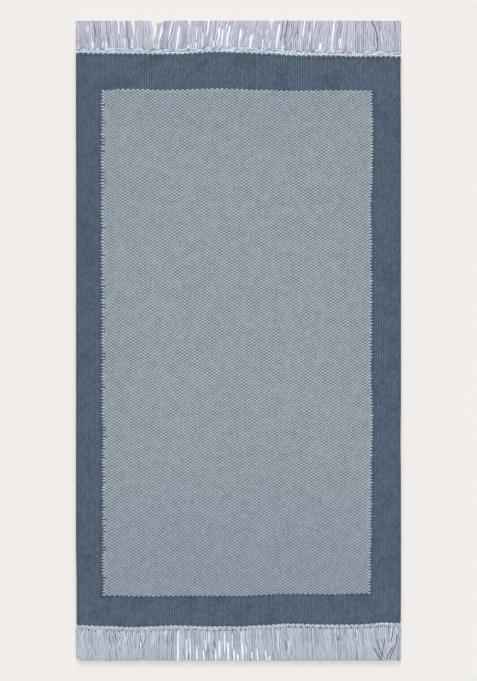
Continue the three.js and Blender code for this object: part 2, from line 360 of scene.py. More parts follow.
# How far past the cloth the strands start, under the heading's loops, and how much they rise there.
ROOT_COVER = {End.FAR: 8.4, End.NEAR: 9.6}
ROOT_RISE = {End.FAR: 0.8, End.NEAR: 2.3}
# How far past the cloth the dark blobs of painted shade between knots lie, by the place across.
HOLLOW_REACH = {
    End.FAR: (Mark(-350, 10.2), Mark(350, 10.2)),
    End.NEAR: (
        Mark(-350, 11.4), Mark(-200, 11.0), Mark(-100, 10.0), Mark(30, 9.0), Mark(110, 7.8),
        Mark(350, 7.8),
    ),
}
# The share of those blobs of painted shade that show, by the place across.
HOLLOWS = {
    End.FAR: (Mark(-350, 0.25), Mark(200, 0.2), Mark(285, 0.8), Mark(350, 0.6)),
    End.NEAR: (
        Mark(-350, 0.95), Mark(-210, 0.9), Mark(-150, 0.5), Mark(-100, 0.6), Mark(0, 0.7),
        Mark(60, 0.5), Mark(120, 1.0), Mark(260, 1.0), Mark(350, 0.8),
    ),
}


def eased(share: np.ndarray) -> np.ndarray:
    """Eases a share from 0 to 1, level at both ends."""
    held = np.clip(share, 0.0, 1.0)
    return held * held * (3.0 - 2.0 * held)


def along_line(marks: Sequence[Mark], place: np.ndarray) -> np.ndarray:
    """Reads a line between the rows of its table, with an eased step from row to row.

    Args:
        marks: The line's rows, in order of their places.
        place: The places to read.

    Returns:
        The line's value at each place.
    """
    places = np.array([mark.place for mark in marks], float)
    values = np.array([mark.value for mark in marks], float)
    row = np.clip(np.searchsorted(places, place) - 1, 0, len(places) - 2)
    share = (place - places[row]) / (places[row + 1] - places[row])
    return values[row] + (values[row + 1] - values[row]) * eased(share)


def value_at(marks: Sequence[Mark], place: float) -> float:
    """The value of a line at one place."""
    return float(along_line(marks, np.array([place]))[0])


def ripple(place: np.ndarray, wave: float, seed: int) -> np.ndarray:
    """A smooth uneven wave between -1 and 1, the same each time.

    Args:
        place: The places to read.
        wave: About how far apart the wave's crests are.
        seed: Chooses the wave.

    Returns:
        The wave's value at each place.
    """
    phases = np.random.default_rng(seed).uniform(0.0, math.tau, RIPPLE_WAVES)
    total = np.zeros_like(np.asarray(place, float))
    for step, phase in enumerate(phases):
        length = wave * (RIPPLE_SHORTEST + RIPPLE_STEP * step)
        total = total + np.sin(math.tau * place / length + phase)
    return total / RIPPLE_WAVES


def show(mesh: bpy.types.Mesh, name: str) -> bpy.types.Object:
    """Puts a mesh in the scene at the origin.

    Args:
        mesh: The mesh.
        name: The name that it and its object get.

    Returns:
        The object.
    """
    mesh.name = name
    thing = bpy.data.objects.new(name, mesh)
    bpy.context.scene.collection.objects.link(thing)
    return thing


class NodeBench:
    """Adds, feeds and links the nodes of one tree."""

    def __init__(self, tree: bpy.types.NodeTree) -> None:
        """Works on a tree."""
        self.tree = tree

    def feed(self, socket: Socket, value: Feed) -> None:
        """Gives an input its value, or links it.

        Args:
            socket: The input.
            value: A plain value, or the output to link from.
        """
        if isinstance(value, bpy.types.NodeSocket):
            self.tree.links.new(value, socket)
        else:
            socket.default_value = value

    def add(self, kind: str, inputs: dict[Union[int, str], Feed] | None = None,
            **settings: object) -> bpy.types.Node:
        """Adds a node.

        Args:
            kind: The node's type name.
            inputs: What each input gets, by name or index.
            **settings: The node's own settings.

        Returns:
            The new node.
        """
        node = self.tree.nodes.new(kind)
        for name, value in settings.items():
            setattr(node, name, value)
        for key, value in (inputs or {}).items():
            self.feed(node.inputs[key], value)
        return node

    def out(self, kind: str, inputs: dict[Union[int, str], Feed] | None = None,
            **settings: object) -> Socket:
        """Adds a node and takes its first output."""
        return self.add(kind, inputs, **settings).outputs[0]

    def math(self, operation: str, first: Feed, second: Feed = 0.0, third: Feed = 0.0) -> Socket:
        """Adds a Math node.

        Args:
            operation: The node's operation.
            first: Its first number.
            second: Its second number.
            third: Its third number.

        Returns:
            The result's socket.
        """
        node = self.add("ShaderNodeMath", operation=operation)
        for socket, value in zip(node.inputs, (first, second, third)):
            self.feed(socket, value)
        return node.outputs[0]

    def blend(self, low: Feed, high: Feed, share: Feed) -> Socket:
        """Adds low + (high - low) * share."""
        span = self.math("SUBTRACT", high, low)
        return self.math("MULTIPLY_ADD", span, share, low)

    def vary(self, spread: float, share: Feed) -> Socket:
        """Adds a factor from 1 - spread at a share of 0 to 1 + spread at a share of 1."""
        return self.blend(1.0 - spread, 1.0 + spread, share)

    def distance(self, value: Feed, middle: float) -> Socket:
        """Adds how far a number lies from a middle, on either side."""
        return self.math("ABSOLUTE", self.math("SUBTRACT", value, middle))

    def steps(self, value: Feed, start: float, stop: float) -> Socket:
        """Adds a smooth step from 0 at start to 1 at stop.

        Args:
            value: The number that is read.
            start: Where the step begins.
            stop: Where it ends.

        Returns:
            The result's socket.
        """
        node = self.add("ShaderNodeMapRange", interpolation_type="SMOOTHSTEP")
        for name, number in (("Value", value), ("From Min", start), ("From Max", stop)):
            self.feed(node.inputs[name], number)
        return node.outputs["Result"]

    def split(self, vector: Socket) -> tuple[Socket, Socket, Socket]:
        """Adds a Separate XYZ node."""
        outputs = self.add("ShaderNodeSeparateXYZ", {0: vector}).outputs
        return outputs[0], outputs[1], outputs[2]

    def join(self, x: Feed, y: Feed, z: Feed) -> Socket:
        """Adds a Combine XYZ node."""
        return self.out("ShaderNodeCombineXYZ", {0: x, 1: y, 2: z})

    def tint(self, low: Feed, high: Feed, share: Feed, kind: str = "MIX") -> Socket:
        """Adds a colour mix.

        Args:
            low: The colour at a share of 0.
            high: The colour at a share of 1.
            share: The share.
            kind: How the second colour is laid on the first.

        Returns:
            The colour's socket.
        """
        node = self.add("ShaderNodeMix", data_type="RGBA", blend_type=kind)
        inputs = [socket for socket in node.inputs if socket.enabled]
        for socket, value in zip(inputs, (share, low, high)):
            self.feed(socket, value)
        return [socket for socket in node.outputs if socket.enabled][0]

    def shade(self, colour: Feed, red: Feed, green: Feed, blue: Feed) -> Socket:
        """Multiplies a colour's three parts."""
        return self.tint(colour, self.join(red, green, blue), 1.0, "MULTIPLY")

    def noise(self, vector: Socket, scale: float, detail: float) -> Socket:
        """Adds a noise of about 0 to 1."""
        return self.out(
            "ShaderNodeTexNoise", {"Vector": vector, "Scale": scale, "Detail": detail}
        )

    def brick(self, rib: Feed, pick: Feed) -> tuple[Socket, Socket, Socket]:
        """Works out where a point lies on its bead of the weave.

        Args:
            rib: The place across, in ribs.
            pick: The place along, in picks.

        Returns:
            The height across the rib and along the bead, each from 0 to 1, and the bead's number.
        """
        across = self.math("FRACT", rib)
        crest = self.math("SINE", self.math("MULTIPLY", across, math.pi))
        step = self.math("MULTIPLY", self.math("FLOOR", rib), 0.5)
        beat = self.math("MULTIPLY_ADD", pick, 0.5, step)
        swing = self.math("COSINE", self.math("MULTIPLY", beat, math.tau))
        bead = self.math("MULTIPLY_ADD", swing, -0.5, 0.5)
        return crest, bead, self.math("FLOOR", beat)


class GrowthTree:
    """A geometry tree with named inputs, which ends in real faces and one yarn."""

    def __init__(self, name: str, inputs: dict[str, type]) -> None:
        """Opens the tree.

        Args:
            name: What the tree makes.
            inputs: The kind of each of its named sizes.
        """
        self.tree = bpy.data.node_groups.new(name, "GeometryNodeTree")
        face = self.tree.interface
        face.new_socket("Geometry", in_out="INPUT", socket_type="NodeSocketGeometry")
        for label, size in inputs.items():
            kind = "NodeSocketInt" if size is int else "NodeSocketFloat"
            face.new_socket(label, in_out="INPUT", socket_type=kind)
        face.new_socket("Yarn", in_out="INPUT", socket_type="NodeSocketMaterial")
        face.new_socket("Geometry", in_out="OUTPUT", socket_type="NodeSocketGeometry")
        self.bench = NodeBench(self.tree)
        self.given = self.bench.add("NodeGroupInput").outputs

    def read(self, name: str, kind: str = "FLOAT") -> Socket:
        """Reads a named attribute."""
        node = self.bench.add("GeometryNodeInputNamedAttribute", {"Name": name}, data_type=kind)
        return next(socket for socket in node.outputs if socket.enabled)

    def store(self, geometry: Socket, name: str, value: Socket, kind: str = "FLOAT") -> Socket:
        """Stores a value on each point of a geometry.

        Args:
            geometry: The geometry.
            name: The attribute's name.
            value: The value.
            kind: Its data type.

        Returns:
            The geometry's socket.
        """
        return self.bench.out(
            "GeometryNodeStoreNamedAttribute",
            {"Geometry": geometry, "Name": name, "Value": value}, data_type=kind, domain="POINT",
        )

    def mark_ring(self, shape: Socket) -> Socket:
        """Stores each point's place on a bare shape, so that its faces know their side."""
        place = self.bench.out("GeometryNodeInputPosition")
        return self.store(shape, RING, place, "FLOAT_VECTOR")

    def close(self, geometry: Socket) -> None:
        """Ends the tree: instances made real, smooth faces and the yarn.

        Args:
            geometry: What the tree has made.
        """
        bench = self.bench
        real = bench.out("GeometryNodeRealizeInstances", {"Geometry": geometry})
        smooth = bench.out("GeometryNodeSetShadeSmooth", {"Geometry": real})
        dressed = bench.out(
            "GeometryNodeSetMaterial", {"Geometry": smooth, "Material": self.given["Yarn"]}
        )
        bench.add("NodeGroupOutput", {"Geometry": dressed})

    def grow(self, seedling: bpy.types.Object, yarn: bpy.types.Material,
             sizes: dict[str, float]) -> bpy.types.Mesh:
        """Runs the tree on an object and takes the result as a plain mesh.

        Args:
            seedling: The object that the tree starts from. It is removed afterwards.
            yarn: The material of what is made.
            sizes: The tree's named sizes.

        Returns:
            The finished mesh.
        """
        modifier = seedling.modifiers.new("growth", "NODES")
        modifier.node_group = self.tree
        names = {
            item.name: item.identifier
            for item in self.tree.interface.items_tree
            if item.in_out == "INPUT"
        }
        for label, value in {**sizes, "Yarn": yarn}.items():
            modifier[names[label]] = value
        graph = bpy.context.evaluated_depsgraph_get()
        grown = bpy.data.meshes.new_from_object(seedling.evaluated_get(graph))
        seedling.modifiers.remove(modifier)
        start = seedling.data
        bpy.data.objects.remove(seedling)
        bpy.data.meshes.remove(start)
        return grown


def weave_tree() -> GrowthTree:
    """Makes the tree that raises the beads of the weave on a flat lattice.

    Returns:
        The tree. Its lattice carries a place for each point: rib, pick, and 1 on the face or -1
        on the back.
    """
    shares = {"Valley": float, "Dip": float, "Unevenness": float}
    growth = GrowthTree("weave_relief", {"Half Thickness": float, **shares, "Seed": int})
    bench, given = growth.bench, growth.given
    rib, pick, side = bench.split(growth.read(PLACE, "FLOAT_VECTOR"))
    crest, bead, number = bench.brick(rib, pick)
    on_face = bench.math("MAXIMUM", side, 0.0)
    bead = bench.blend(BACK_BEAD, bead, on_face)
    own = bench.math("MULTIPLY_ADD", bench.math("FLOOR", rib), RIB_STRIDE, number)
    chance = bench.add(
        "FunctionNodeRandomValue", {"ID": own, "Seed": given["Seed"]}, data_type="FLOAT"
    ).outputs[1]
    swell = bench.math("MULTIPLY", bench.math("SUBTRACT", chance, 0.5), given["Unevenness"])
    ridge = bench.blend(given["Dip"], bench.math("ADD", 1.0, swell), bead)
    profile = bench.blend(given["Valley"], ridge, crest)
    height = bench.math("MULTIPLY", bench.math("MULTIPLY", profile, side), given["Half Thickness"])
    raised = bench.out(
        "GeometryNodeSetPosition",
        {"Geometry": given["Geometry"], "Offset": bench.join(0.0, 0.0, height)},
    )
    growth.close(raised)
    return growth


def cord_tree() -> GrowthTree:
    """Makes the tree that lays a cord along every chain of edges.

    Returns:
        The tree. Each point of a chain carries its girth, half the cord's width there. The cord's
        faces carry their place round it and along it, for the lay of its plies.
    """
    growth = GrowthTree("laid_cord", {"Sides": int, "Flatness": float})
    bench, given = growth.bench, growth.given
    line = bench.out("GeometryNodeMeshToCurve", {"Mesh": given["Geometry"]})
    upright = bench.out("GeometryNodeSetCurveNormal", {"Curve": line}, mode="Z_UP")
    length = bench.add("GeometryNodeSplineParameter").outputs["Length"]
    measured = growth.store(upright, REACH, length)
    ring = growth.mark_ring(
        bench.out("GeometryNodeCurvePrimitiveCircle", {"Resolution": given["Sides"], "Radius": 1.0})
    )
    flatten = bench.join(1.0, given["Flatness"], 1.0)
    oval = bench.out("GeometryNodeTransform", {"Geometry": ring, "Scale": flatten})
    tube = bench.out(
        "GeometryNodeCurveToMesh",
        {"Curve": measured, "Profile Curve": oval, "Scale": growth.read(GIRTH), "Fill Caps": True},
    )
    growth.close(tube)
    return growth


def loop_tree() -> GrowthTree:
    """Makes the tree that sets a rounded loop of yarn on every point.

    Returns:
        The tree. Each point carries its loop's slant and its three sizes.
    """
    growth = GrowthTree("yarn_loops", {"Segments": int, "Rings": int})
    bench, given = growth.bench, growth.given
    points = bench.out("GeometryNodeMeshToPoints", {"Mesh": given["Geometry"]})
    round_sizes = {"Segments": given["Segments"], "Rings": given["Rings"], "Radius": 1.0}
    loop = growth.mark_ring(bench.out("GeometryNodeMeshUVSphere", round_sizes))
    turn = bench.out(
        "FunctionNodeEulerToRotation", {0: bench.join(0.0, 0.0, growth.read(SLANT))}
    )
    placed = bench.out(
        "GeometryNodeInstanceOnPoints",
        {
            "Points": points, "Instance": loop, "Rotation": turn,
            "Scale": growth.read(LOOP, "FLOAT_VECTOR"),
        },
    )
    growth.close(placed)
    return growth


class Surface:
    """A material in the making: its nodes, and the inputs of its surface."""

    def __init__(self, name: str) -> None:
        """Starts the material.

        Args:
            name: Its name.
        """
        self.material = bpy.data.materials.new(name)
        self.material.use_nodes = True
        self.bench = NodeBench(self.material.node_tree)
        self.inputs = self.material.node_tree.nodes["Principled BSDF"].inputs
        self.where = self.bench.add("ShaderNodeTexCoord").outputs["Object"]

    def give(self, values: dict[str, Feed]) -> None:
        """Gives the surface its values."""
        for name, value in values.items():
            self.bench.feed(self.inputs[name], value)

    def fibres(self, scale: tuple[float, float, float]) -> Socket:
        """Adds the noise of fine fibres."""
        drawn_out = self.bench.out("ShaderNodeMapping", {"Vector": self.where, "Scale": scale})
        return self.bench.noise(drawn_out, 1.0, 3.0)

    def roughen(self, height: Socket, depth: float) -> None:
        """Adds the relief of fibres and plies, too fine for the mesh."""
        relief = {"Height": height, "Strength": BUMP_STRENGTH, "Distance": depth}
        self.give({"Normal": self.bench.out("ShaderNodeBump", relief)})


@dataclass(frozen=True)
class WovenFinish:
    """Weft yarn packed over the ribs: bead by bead colour, painted shade in hollows and by the
    headings, fibres and drifting dye.
    """

    name: str
    # The colour of the painted shade in the hollows between ribs and between beads.
    valley_shade_colour: Colour
    cool_dye: Colour
    warm_dye: Colour
    outer_tint: Colour
    # How high the valleys and dips lie, as shares of a crest, for the bump and for the painted shade.
    valley_tone: float
    dip_tone: float
    join_lift: float
    bead_spread: float
    crisp_relief: float
    soft_relief: float = 0.45
    side_dip_tone: float = 0.0
    side_picks: Span = (178.0, 150.0)
    patch_scale: float = 26.0
    patch_noise: Span = (0.58, 0.7)
    patch_dip: float = 0.35
    crisp_scale: float = 42.0
    crisp_noise: Span = (0.3, 0.7)
    near_calm: float = 1.0
    calm_picks: Span = (130.0, 40.0)
    join_beads: Span = (1.8, 0.4)
    # How much painted shade darkens the cloth next to the headings, and the picks over which it fades.
    painted_heading_shade: float = 0.0
    heading_picks: Span = (2.6, 0.8)
    drift_size: float = 0.045
    drift_noise: Span = (0.4, 0.6)
    outer_middle: float = 0.1
    outer_across: Span = (0.14, 0.5)
    outer_along: Span = (0.22, 0.66)
    # The heights over which the painted shade of the hollows fades out.
    valley_shade_heights: Span = (-0.1, 1.1)
    fibre_spread: float = 0.10
    fibre_scale: tuple[float, float, float] = (260.0, 1500.0, 260.0)
    fibre_rise: float = 0.25
    relief_depth: float = 0.0006
    roughness: float = 0.95
    specular: float = 0.0
    sheen: float = 0.03
    sheen_roughness: float = 0.6

    def relief(self, surface: Surface, rib: Socket, pick: Socket,
               plan: Lattice) -> tuple[Socket, Socket]:
        """Works out how far up its bead a point lies, for the bump and for the painted shade in the
        hollows.

        Args:
            surface: The material in the making.
            rib: The place across, in ribs.
            pick: The place along, in picks.
            plan: The lattice, which says how many picks there are.

        Returns:
            The height, from about 0 to 1, and the bead's own random number.
        """
        bench, where = surface.bench, surface.where
        crest, bead, number = bench.brick(rib, pick)
        beside_field = bench.steps(bench.distance(pick, plan.picks / 2.0), *self.side_picks)
        dip = bench.blend(self.dip_tone, self.side_dip_tone, beside_field)
        patch = bench.steps(bench.noise(where, self.patch_scale, 0.0), *self.patch_noise)
        dip = bench.math("MULTIPLY", dip, bench.blend(1.0, self.patch_dip, patch))
        high = bench.blend(self.valley_tone, bench.blend(dip, 1.0, bead), crest)
        crisp = bench.steps(bench.noise(where, self.crisp_scale, 0.0), *self.crisp_noise)
        strength = bench.blend(self.soft_relief, self.crisp_relief, crisp)
        calm = bench.blend(1.0, self.near_calm, bench.steps(pick, *self.calm_picks))
        high = bench.blend(0.5, high, bench.math("MULTIPLY", strength, calm))
        own = bench.join(bench.math("FLOOR", rib), number, 0.0)
        chance = bench.add("ShaderNodeTexWhiteNoise", {"Vector": own}, noise_dimensions="3D")
        return high, chance.outputs["Value"]

    def near_join(self, bench: NodeBench, rib: Socket, pick: Socket, plan: Lattice) -> Socket:
        """Works out how close a point lies to the field's edge.

        Args:
            bench: The material's nodes.
            rib: The place across, in ribs.
            pick: The place along, in picks.
            plan: The lattice, which says where the field ends.

        Returns:
            1 at the field's edge, falling to 0 two ribs or picks away on either side.
        """
        past = []
        for place, first, last in (
            (rib, plan.left_ribs, plan.last_field_rib),
            (pick, plan.first_field_pick, plan.last_field_pick),
        ):
            half = (last - first) / 2.0
            past.append(bench.math("SUBTRACT", bench.distance(place, first + half), half))
        away = bench.math("ABSOLUTE", bench.math("MAXIMUM", *past))
        return bench.steps(away, *self.join_beads)

    def near_heading(self, bench: NodeBench, pick: Socket, plan: Lattice) -> Socket:
        """Works out how close a point lies to either heading, for the painted shade there.

        Args:
            bench: The material's nodes.
            pick: The place along, in picks.
            plan: The lattice, which says how many picks there are.

        Returns:
            1 at a heading, falling to 0 three picks into the cloth.
        """
        middle = plan.picks / 2.0
        start, stop = (middle - picks for picks in self.heading_picks)
        return bench.steps(bench.distance(pick, middle), start, stop)

    def dye(self, surface: Surface, high: Socket) -> Socket:
        """Mixes the yarn's colour, with its drift, the outer tint and the painted shade of the
        hollows.

        Args:
            surface: The material in the making.
            high: How far up its bead a point lies.

        Returns:
            The colour's socket.
        """
        bench = surface.bench
        drift = bench.steps(bench.noise(surface.where, 1.0 / self.drift_size, 1.0), *self.drift_noise)
        yarn = bench.tint((*self.cool_dye, 1.0), (*self.warm_dye, 1.0), drift)
        x, y, _ = bench.split(surface.where)
        outer = bench.math(
            "MAXIMUM", bench.steps(bench.distance(x, 0.0), *self.outer_across),
            bench.steps(bench.distance(y, self.outer_middle), *self.outer_along),
        )
        tint = bench.tint((1.0, 1.0, 1.0, 1.0), (*self.outer_tint, 1.0), outer)
        yarn = bench.tint(yarn, tint, 1.0, "MULTIPLY")
        # Painted shade: the low parts of each bead take the dark colour of the hollows.
        return bench.tint((*self.valley_shade_colour, 1.0), yarn, bench.steps(high, *self.valley_shade_heights))

    def make(self, plan: Lattice) -> bpy.types.Material:
        """Builds the material.

        Args:
            plan: The lattice, which says where the field ends.

        Returns:
            The material.
        """
        surface = Surface(self.name)
        bench = surface.bench
        rib, pick, _ = bench.split(bench.out("ShaderNodeUVMap", uv_map=WEAVE_MAP))
        high, chance = self.relief(surface, rib, pick, plan)
        fibres = surface.fibres(self.fibre_scale)
        joined = self.near_join(bench, rib, pick, plan)
        # Painted shade on the cloth next to either heading.
        heading_shade_mask = self.near_heading(bench, pick, plan)
        tone = bench.vary(self.bead_spread, chance)
        for factor in (
            bench.vary(self.fibre_spread, fibres), bench.blend(1.0, 1.0 + self.join_lift, joined),
            bench.blend(1.0, 1.0 - self.painted_heading_shade, heading_shade_mask),
        ):
            tone = bench.math("MULTIPLY", tone, factor)
        surface.roughen(bench.math("MULTIPLY_ADD", fibres, self.fibre_rise, high), self.relief_depth)
        surface.give({
            "Base Color": bench.shade(self.dye(surface, high), tone, tone, tone),
            "Roughness": self.roughness, "Specular IOR Level": self.specular,
            "Sheen Weight": self.sheen, "Sheen Roughness": self.sheen_roughness,
            "Sheen Tint": (*self.warm_dye, 1.0),
        })
        return surface.material


@dataclass(frozen=True)
class CordFinish:
    """Plied yarn: strand by strand tone, painted deep shade in the hollows, and the lay of its plies.

    A strand's tone blends its shaded colour into its pale one, and low tones are partly painted shade,
    as on the fringes' lower layers. A tone near 0 is darker still, a painted deep shade for hollows
    and dark threads, and one past the bright tones is a painted highlight, for pale threads and bright
    strands.
    """

    name: str
    pale: Colour
    shaded: Colour
    tip: Colour
    tip_shares: Span = (0.2, 0.9)
    # The colour of painted deep shade, and the tones below which it comes in.
    painted_deep_shade: Colour = (0.07, 0.09, 0.12)
    deep_shade_tones: Span = (0.02, 0.2)
    # The colour of painted highlights, and the tones over which it comes in.
    painted_highlight: Colour = (0.87, 0.905, 0.98)
    highlight_tones: Span = (1.2, 1.8)
    plies: float = 2.0
    lay: float = 0.006
    lay_shuffle: float = 40.0
    # How much painted shade darkens the grooves between plies.
    painted_ply_shade: float = 0.05
    # How much painted shade darkens a cord towards its sides, and how fast it comes in.
    painted_side_shade: float = 0.35
    side_shade_power: float = 3.0
    streak_spread: float = 0.16
    streak_scale: float = 1.6
    streak_shuffle: float = 97.0
    streaks_per_metre: float = 60.0
    fibre_spread: float = 0.10
    fibre_scale: tuple[float, float, float] = (1400.0, 300.0, 1400.0)
    fibre_rise: float = 0.4
    relief_depth: float = 0.0004
    drift_size: float = 0.06
    drift_spread: float = 0.03
    roughness: float = 0.92
    specular: float = 0.0
    sheen: float = 0.05

    def dye(self, bench: NodeBench, tone: Socket, along: Socket) -> Socket:
        """Mixes the strand's colour from its tone, with its tip and the dark of the hollows.

        Args:
            bench: The material's nodes.
            tone: The strand's tone.
            along: The share of the way to the strand's tip.

        Returns:
            The colour's socket.
        """
        yarn = bench.tint((*self.shaded, 1.0), (*self.pale, 1.0), tone)
        tipped = bench.math("MULTIPLY", bench.steps(along, *self.tip_shares), tone)
        yarn = bench.tint(yarn, (*self.tip, 1.0), tipped)
        return bench.tint((*self.painted_deep_shade, 1.0), yarn, bench.steps(tone, *self.deep_shade_tones))

    def plied(self, bench: NodeBench, tone: Socket, reach: Socket, turn: Socket) -> Socket:
        """Works out the lay of the plies, for the bump and for the painted shade in the grooves
        between them.

        Args:
            bench: The material's nodes.
            tone: The strand's tone, which shifts its lay from its neighbours'.
            reach: How far along the strand a point lies, in metres.
            turn: How far round the strand it lies.

        Returns:
            1 on a ply, falling to 0 in the groove between two.
        """
        start = bench.math(
            "MULTIPLY_ADD", tone, self.lay_shuffle, bench.math("MULTIPLY", turn, self.plies)
        )
        lay = bench.math("MULTIPLY_ADD", reach, math.tau / self.lay, start)
        return bench.math("MULTIPLY_ADD", bench.math("COSINE", lay), 0.5, 0.5)

    def streaks(self, bench: NodeBench, tone: Socket, reach: Socket, side: Socket) -> Socket:
        """Adds long streaks along a strand, other ones on each.

        Args:
            bench: The material's nodes.
            tone: The strand's tone.
            reach: How far along the strand a point lies, in metres.
            side: How far aside of the strand's middle it lies, from -1 to 1.

        Returns:
            The streaks' socket.
        """
        shuffled = bench.math("MULTIPLY", tone, self.streak_shuffle)
        spot = bench.join(side, shuffled, bench.math("MULTIPLY", reach, self.streaks_per_metre))
        return bench.noise(spot, self.streak_scale, 1.0)

    def make(self) -> bpy.types.Material:
        """Builds the material.

        Returns:
            The material.
        """
        surface = Surface(self.name)
        bench = surface.bench
        tone, along, reach = (
            bench.add("ShaderNodeAttribute", attribute_name=label).outputs["Fac"]
            for label in (TONE, ALONG, REACH)
        )
        ring = bench.add("ShaderNodeAttribute", attribute_name=RING).outputs["Vector"]
        side, top, _ = bench.split(ring)
        ply = self.plied(bench, tone, reach, bench.math("ARCTAN2", top, side))
        fibres = surface.fibres(self.fibre_scale)
        # Painted shade, darker towards the cord's sides.
        edge = bench.math("POWER", bench.math("ABSOLUTE", side), self.side_shade_power)
        lift = bench.vary(self.fibre_spread, fibres)
        for factor in (
            bench.vary(self.painted_ply_shade, ply),
            bench.vary(self.streak_spread, self.streaks(bench, tone, reach, side)),
            bench.blend(1.0, 1.0 - self.painted_side_shade, edge),
        ):
            lift = bench.math("MULTIPLY", lift, factor)
        colour = bench.shade(self.dye(bench, tone, along), lift, lift, lift)
        drift = bench.noise(surface.where, 1.0 / self.drift_size, 1.0)
        colour = bench.shade(colour, 1.0, bench.vary(-self.drift_spread, drift), 1.0)
        # Painted highlight: tones past the bright tones turn near-white.
        colour = bench.tint(colour, (*self.painted_highlight, 1.0), bench.steps(tone, *self.highlight_tones))
        surface.roughen(bench.math("MULTIPLY_ADD", fibres, self.fibre_rise, ply), self.relief_depth)
        surface.give({
            "Base Color": colour, "Roughness": self.roughness,
            "Specular IOR Level": self.specular, "Sheen Weight": self.sheen,
            "Sheen Tint": (*self.pale, 1.0),
        })
        return surface.material


@dataclass(frozen=True)
class FloorFinish:
    """A plain pale matt floor with a faint mottle."""

    name: str = "pale_floor"
    colour: Colour = (0.818, 0.789, 0.767)
    mottle_scale: float = 3.0
    mottle_shade: float = 0.995

    def make(self) -> bpy.types.Material:
        """Builds the material.

        Returns:
            The material.
        """
        surface = Surface(self.name)
        bench = surface.bench
        mottle = bench.noise(surface.where, self.mottle_scale, 1.0)
        darker = tuple(self.mottle_shade * part for part in self.colour)
        colour = bench.tint((*darker, 1.0), (*self.colour, 1.0), mottle)
        surface.give({"Base Color": colour, "Roughness": 1.0, "Specular IOR Level": 0.0})
        return surface.material


